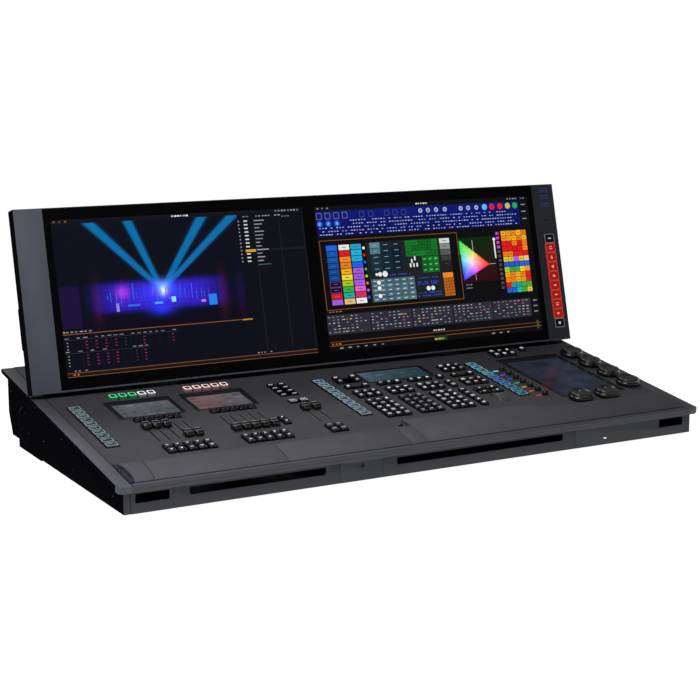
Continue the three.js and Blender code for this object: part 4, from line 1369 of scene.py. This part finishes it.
def control_band(page):
    """The blue band of controls across the top, with round coloured buttons."""
    blue = srgb(13, 22, 104)
    page.shaded(612, 1110, 259, 311, (24, 4), lambda x, y: scaled(blue, 0.75 + 0.5 * (y - 259) / 52))
    for x in (618, 638, 658, 678):
        outline_ring(page.piece, x, 301, page.base + 0.2, 13, 14, 1.6, PICTURE, srgb(98, 102, 140))
    for x in (718, 740, 778, 798, 819):
        outline_ring(page.piece, x, 301, page.base + 0.2, 12, 12, 1.2, PICTURE, srgb(66, 74, 136))
    for x in (618, 638, 658):
        page.disc(x, 285, 6.3, srgb(32, 98, 232))
        page.disc(x, 285, 2.8, srgb(120, 170, 240), 4)
    for x in (860, 879, 899, 921, 961, 980, 1001):
        page.disc(x, 302, 5, srgb(178, 184, 214))
        page.disc(x, 302, 2.4, srgb(92, 98, 140), 4)
    buttons = [srgb(96, 186, 245), srgb(228, 30, 34), srgb(236, 34, 28)]
    buttons += [srgb(206, 190, 52), srgb(24, 176, 84)]
    for x, colour in zip((1022, 1041, 1062, 1082, 1101), buttons):
        page.disc(x, 302, 6.6, colour)
    for y in (290, 283, 276, 269, 262.5):
        start = 682 if y > 280 else 616
        page.dashes(start, 1106, y, 6.6, 4.6, 1.7, srgb(196, 202, 236), skip=0.3)
    page.rect(1112, 1134, 259, 311, srgb(14, 15, 20))
    for y in (303, 288, 272):
        page.rect(1117, 1128, y - 1, y + 1, GREY_TEXT, 3)


def colour_columns(page):
    """Three columns of named colours, and the narrow column of dots beside them."""
    spans = [(625.5, 651.7), (654.4, 680.5), (682, 708)]
    marks = [srgb(60, 110, 190), srgb(60, 50, 40), srgb(60, 60, 110)]
    for (x0, x1), names, mark in zip(spans, COLOUR_COLUMNS, marks):
        page.grid(x0, x1, 117, 241, 1, 10, named_cells([[name] for name in names.split()]), 0.7, 2, mark)
    for y in (160, 148):
        page.frame(626, 651, y - 5.5, y + 5.5, 0.8, srgb(150, 60, 160), 4)
    for i, name in enumerate("white red blue green lime orange violet blue".split()):
        page.disc(713, 231 - i * 14.6, 3, tinted(name))


def tile_grids(page):
    """Teal, green, grey and orange grids of tiles between the colour columns and the picker."""
    page.rect(718, 923, 116, 242, srgb(30, 32, 34))
    teal = [srgb(26, 50, 62), srgb(18, 38, 50), srgb(14, 30, 42)]
    pale = srgb(104, 146, 162)

    def teal_tile(row, column):
        return scaled(pale, 0.8 - 0.2 * row) if column == 0 and row < 2 else teal[column]

    page.grid(727, 803, 179, 241, 3, 5, teal_tile, 0.5, 2, srgb(140, 170, 180))
    page.grid(722, 827, 117, 165, 6, 5, varied(pale, 0.4, 0.65), 0.4, 2, WHITE)
    for x, radius in [(737, 3), (745, 4.6), (757, 6.2)]:
        page.disc(x, 174, radius, WHITE, 4)
    for y in (157, 145, 129):
        page.disc(740, y, 4.4, WHITE, 4)
    green = varied(srgb(16, 118, 38), 0.6, 1.2)
    page.grid(812, 892, 206, 241, 5, 3, green, 0.4, 2, srgb(10, 50, 16))
    page.grid(849, 891, 170, 205, 3, 3, green, 0.4, 2, srgb(180, 230, 190))
    for x, y in [(819, 184), (827, 184), (835, 184), (823, 193), (831, 198)]:
        page.rect(x, x + 3.4, y, y + 8, WHITE, 4)
    blue_text = srgb(52, 92, 214)
    lines = [(767, 827, 171), (837, 889, 160), (833, 891, 151)]
    lines += [(833, 891, 147), (831, 891, 128), (831, 891, 122)]
    for x0, x1, y in lines:
        page.dashes(x0, x1, y, 5.4, 4.2, 2.2, blue_text, 4, 0.1)
    for x in (858, 869):
        page.disc(x, 137, 4.8, WHITE, 4)

    def grey_step(row, _column):
        return scaled(WHITE, 0.8 / 2.6**row)

    page.grid(896.7, 923, 180, 241, 1, 5, grey_step, 0.7, 2, srgb(70, 70, 70))
    page.rect(897, 922, 156, 167, PALETTE["orange"], 3)
    burnt = scaled(PALETTE["orange"], 0.6)
    page.grid(897, 923, 117, 155, 2, 6, lambda _row, _column: burnt, 0.6, 3, srgb(90, 20, 10))


def picker_colour(x, y):
    """The colour triangle: green at the top left, red at the right, blue below, white in the middle."""
    (ax, ay), (bx, by), (cx, cy) = (946, 234), (1018, 178), (949, 147)
    lights = [(0.02, 0.8, 0.06), (1.0, 0.02, 0.01), (0.01, 0.06, 1.0)]
    area = (by - cy) * (ax - cx) + (cx - bx) * (ay - cy)
    a = ((by - cy) * (x - cx) + (cx - bx) * (y - cy)) / area
    b = ((cy - ay) * (x - cx) + (ax - cx) * (y - cy)) / area
    c = 1 - a - b
    whiteness = max(min(a, b, c), 0) * 1.2
    if min(a, b, c) < 0:
        dark = blended(srgb(54, 12, 22), srgb(20, 44, 16), min(max((y - 150) / 80, 0), 1))
        return scaled(dark, 0.75)
    a, b, c = (share**1.7 for share in (a, b, c))
    peak = max(a, b, c)
    mixed_colour = [sum(share * light[i] for share, light in zip((a, b, c), lights)) / peak for i in range(3)]
    return tuple(min(value * (1 - whiteness) + whiteness, 1) for value in mixed_colour) + (1.0,)


def right_page():
    """Programming page: a control band, palettes, a colour picker and a table of values."""
    page = Page("right_screen_picture", (608.6, 1135.6), (24.7, 321.2), "right_screen")
    (x0, x1), (y0, y1) = page.across, page.along
    page.rect(x0, x1, y0, y1, srgb(12, 12, 14), 0)
    page.rect(x0, x1, 312, y1, srgb(14, 14, 18))
    page.dashes(615, 652, 317, 11, 5, 3, GREY_TEXT, skip=0)
    page.dashes(850, 885, 317, 6, 5, 2.6, WHITE, skip=0)
    page.dashes(1082, 1130, 317, 7, 5, 2.6, GREY_TEXT)
    control_band(page)
    colour_columns(page)
    tile_grids(page)
    page.frame(612, 943, 108, 251, 1.0, ORANGE_LINE)
    page.shaded(944, 1036, 142, 238, (60, 64), picker_colour)
    page.rect(979, 980, 205, 232, srgb(200, 205, 200), 3)
    page.rect(979, 980, 146, 160, srgb(180, 170, 200), 3)
    page.rect(1018, 1034, 178, 179, srgb(190, 180, 170), 3)
    page.rect(1034, 1037.5, 190, 227, srgb(225, 225, 225), 3)
    page.disc(1036, 231, 3.6, WHITE, 4)
    page.dashes(952, 973, 137, 6, 5, 2, GREY_TEXT)
    page.dashes(952, 973, 130, 6, 5, 2, GREY_TEXT)
    for i in range(13):
        tint = srgb(196, 70, 190) if i < 4 else srgb(70, 70, 76)
        page.rect(1042, 1050, 240 - i * 9.8, 246 - i * 9.8, tint, 2)
    picker = [row.split() for row in PICKER_ROWS]
    page.grid(1055, 1121.7, 112, 248, 5, 12, named_cells(picker), 0.5, 2, srgb(110, 50, 20))
    value_table(page)
    page.rect(x0 + 2, x1 - 2, 42.5, 43.5, scaled(ORANGE_LINE, 0.7), 2)
    page.rect(x0 + 2, x1 - 2, 35, 36, ORANGE_LINE, 2)
    page.dashes(615, 640, 38.8, 8, 6, 3, srgb(190, 110, 50), skip=0)
    page.dashes(632, 750, 30, 19.5, 8, 2.4, GREY_TEXT, skip=0)
    page.dashes(1003, 1065, 29, 19.5, 8, 2.4, GREY_TEXT, skip=0)
    page.dashes(857, 887, 47.5, 6, 5.4, 2.4, WHITE, skip=0)
    page.rect(857, 889, 25.5, 36, srgb(26, 60, 24), 3)
    page.dashes(859, 887, 29, 5, 4, 3.4, srgb(240, 210, 60), 4, 0)
    page.dashes(616, 650, 104.5, 8, 6, 2, srgb(170, 110, 60), skip=0)
    page.finish()


def value_table(page):
    """Rows of small values in five groups, on a grey ground."""
    ground = srgb(46, 44, 56)
    edges = [609, 710, 810.6, 911.7, 1012.8, 1113]
    for left, right in zip(edges, edges[1:]):
        page.rect(left + 0.8, right - 0.8, 58, 98, ground)
        for row in range(6):
            y = 94 - row * 6.2
            tint = DICE.choice([srgb(190, 186, 200), srgb(170, 150, 160), srgb(150, 160, 190)])
            page.dashes(left + 3, right - 3, y, 10.5, 6, 1.7, tint, 3, 0.3)
        for _ in range(7):
            x, y = DICE.uniform(left + 6, right - 8), 94 - 6.2 * DICE.randrange(6)
            tint = DICE.choice([srgb(200, 60, 70), srgb(70, 150, 90), srgb(200, 190, 80)])
            page.rect(x, x + 4, y - 0.9, y + 0.9, tint, 4)
    page.rect(1115, 1134, 58, 98, srgb(16, 16, 20))
    for y in (92, 80, 68):
        page.rect(1119, 1129, y - 1, y + 1, GREY_TEXT, 3)
    page.rect(1122, 1127, 30, 48, srgb(90, 76, 50), 3)


# ---------------------------------------------------------------- room, light and camera


def stage_floor():
    """A pale sheet that glows of itself, so that shadows stay soft and the far edge is white."""
    mesh = bpy.data.meshes.new("floor")
    reach = 60
    corners = [(-reach, -reach, 0), (reach, -reach, 0), (reach, reach, 0), (-reach, reach, 0)]
    mesh.from_pydata(corners, [], [(0, 1, 2, 3)])
    floor = bpy.data.objects.new("floor", mesh)
    bpy.context.scene.collection.objects.link(floor)
    paper = surface("floor_paper", (0.3, 0.3, 0.3, 1), 0.9, 300, relief=0.02, mottle=0.01, specular=0.0)
    shader = next(node for node in paper.node_tree.nodes if node.type == "BSDF_PRINCIPLED")
    shader.inputs["Emission Color"].default_value = (1, 1, 1, 1)
    shader.inputs["Emission Strength"].default_value = 0.95
    mesh.materials.append(paper)


def softbox(name, power, size, place, aim):
    light = bpy.data.lights.new(name, "AREA")
    light.energy = power
    light.shape = "RECTANGLE"
    light.size, light.size_y = size
    lamp = bpy.data.objects.new(name, light)
    lamp.location = place
    lamp.rotation_euler = (Vector(place) - Vector(aim)).to_track_quat("Z", "Y").to_euler()
    bpy.context.scene.collection.objects.link(lamp)


def room_light():
    """A white horizon under a dim ceiling, one large softbox at the front left and a strip at the rear."""
    world = bpy.data.worlds.new("studio")
    bpy.context.scene.world = world
    world.use_nodes = True
    tree = world.node_tree
    background = tree.nodes["Background"]
    coordinates = tree.nodes.new("ShaderNodeTexCoord").outputs["Generated"]
    parts = tree.nodes.new("ShaderNodeSeparateXYZ")
    tree.links.new(coordinates, parts.inputs[0])
    ramp = tree.nodes.new("ShaderNodeValToRGB")
    tree.links.new(parts.outputs["Z"], ramp.inputs["Fac"])
    stops = ramp.color_ramp.elements
    stops[0].position, stops[0].color = 0.0, (1.0, 1.0, 1.0, 1)
    stops[1].position, stops[1].color = 1.0, (0.12, 0.12, 0.13, 1)
    for position, value in ((0.07, 1.0), (0.12, 0.16)):
        stop = stops.new(position)
        stop.color = (value, value, value * 1.03, 1)
    tree.links.new(ramp.outputs["Color"], background.inputs["Color"])
    softbox("key_softbox", 25, (0.8, 0.7), (-0.85, -0.85, 1.3), (-0.2, 0, 0.1))
    softbox("rear_strip", 16, (2.0, 0.4), (0.1, 1.0, 1.75), (0, -0.1, 0.1))


def camera():
    """The photographer's place: front left, a little above the wing, with a long lens."""
    yaw, pitch = math.radians(29.77), math.radians(9.544)
    data = bpy.data.cameras.new("camera")
    data.sensor_width = 36
    data.lens = 82.3
    data.shift_x, data.shift_y = -0.035, -0.0337
    data.clip_end = 200
    made = bpy.data.objects.new("camera", data)
    made.location = (-1.4922, -2.6897, 0.7389)
    ahead = Vector((math.sin(yaw) * math.cos(pitch), math.cos(yaw) * math.cos(pitch), -math.sin(pitch)))
    made.rotation_euler = ahead.to_track_quat("-Z", "Y").to_euler()
    bpy.context.scene.collection.objects.link(made)
    bpy.context.scene.camera = made


# ---------------------------------------------------------------- the desk

casing()
cheek_sides()
fascia_details()
rear_details()
palm_rests()
keypads()
key_strips()
printed_scales()
for number in range(1, 13):
    fader_cap(f"fader_{number}")
for number in range(1, 7):
    dial(f"encoder_{number}")
colour_dials()
level_wheel()
deck_displays()
wing_body()
wing_keys()
left_page()
right_page()

bpy.context.scene.view_settings.view_transform = "Standard"
stage_floor()
room_light()
camera()
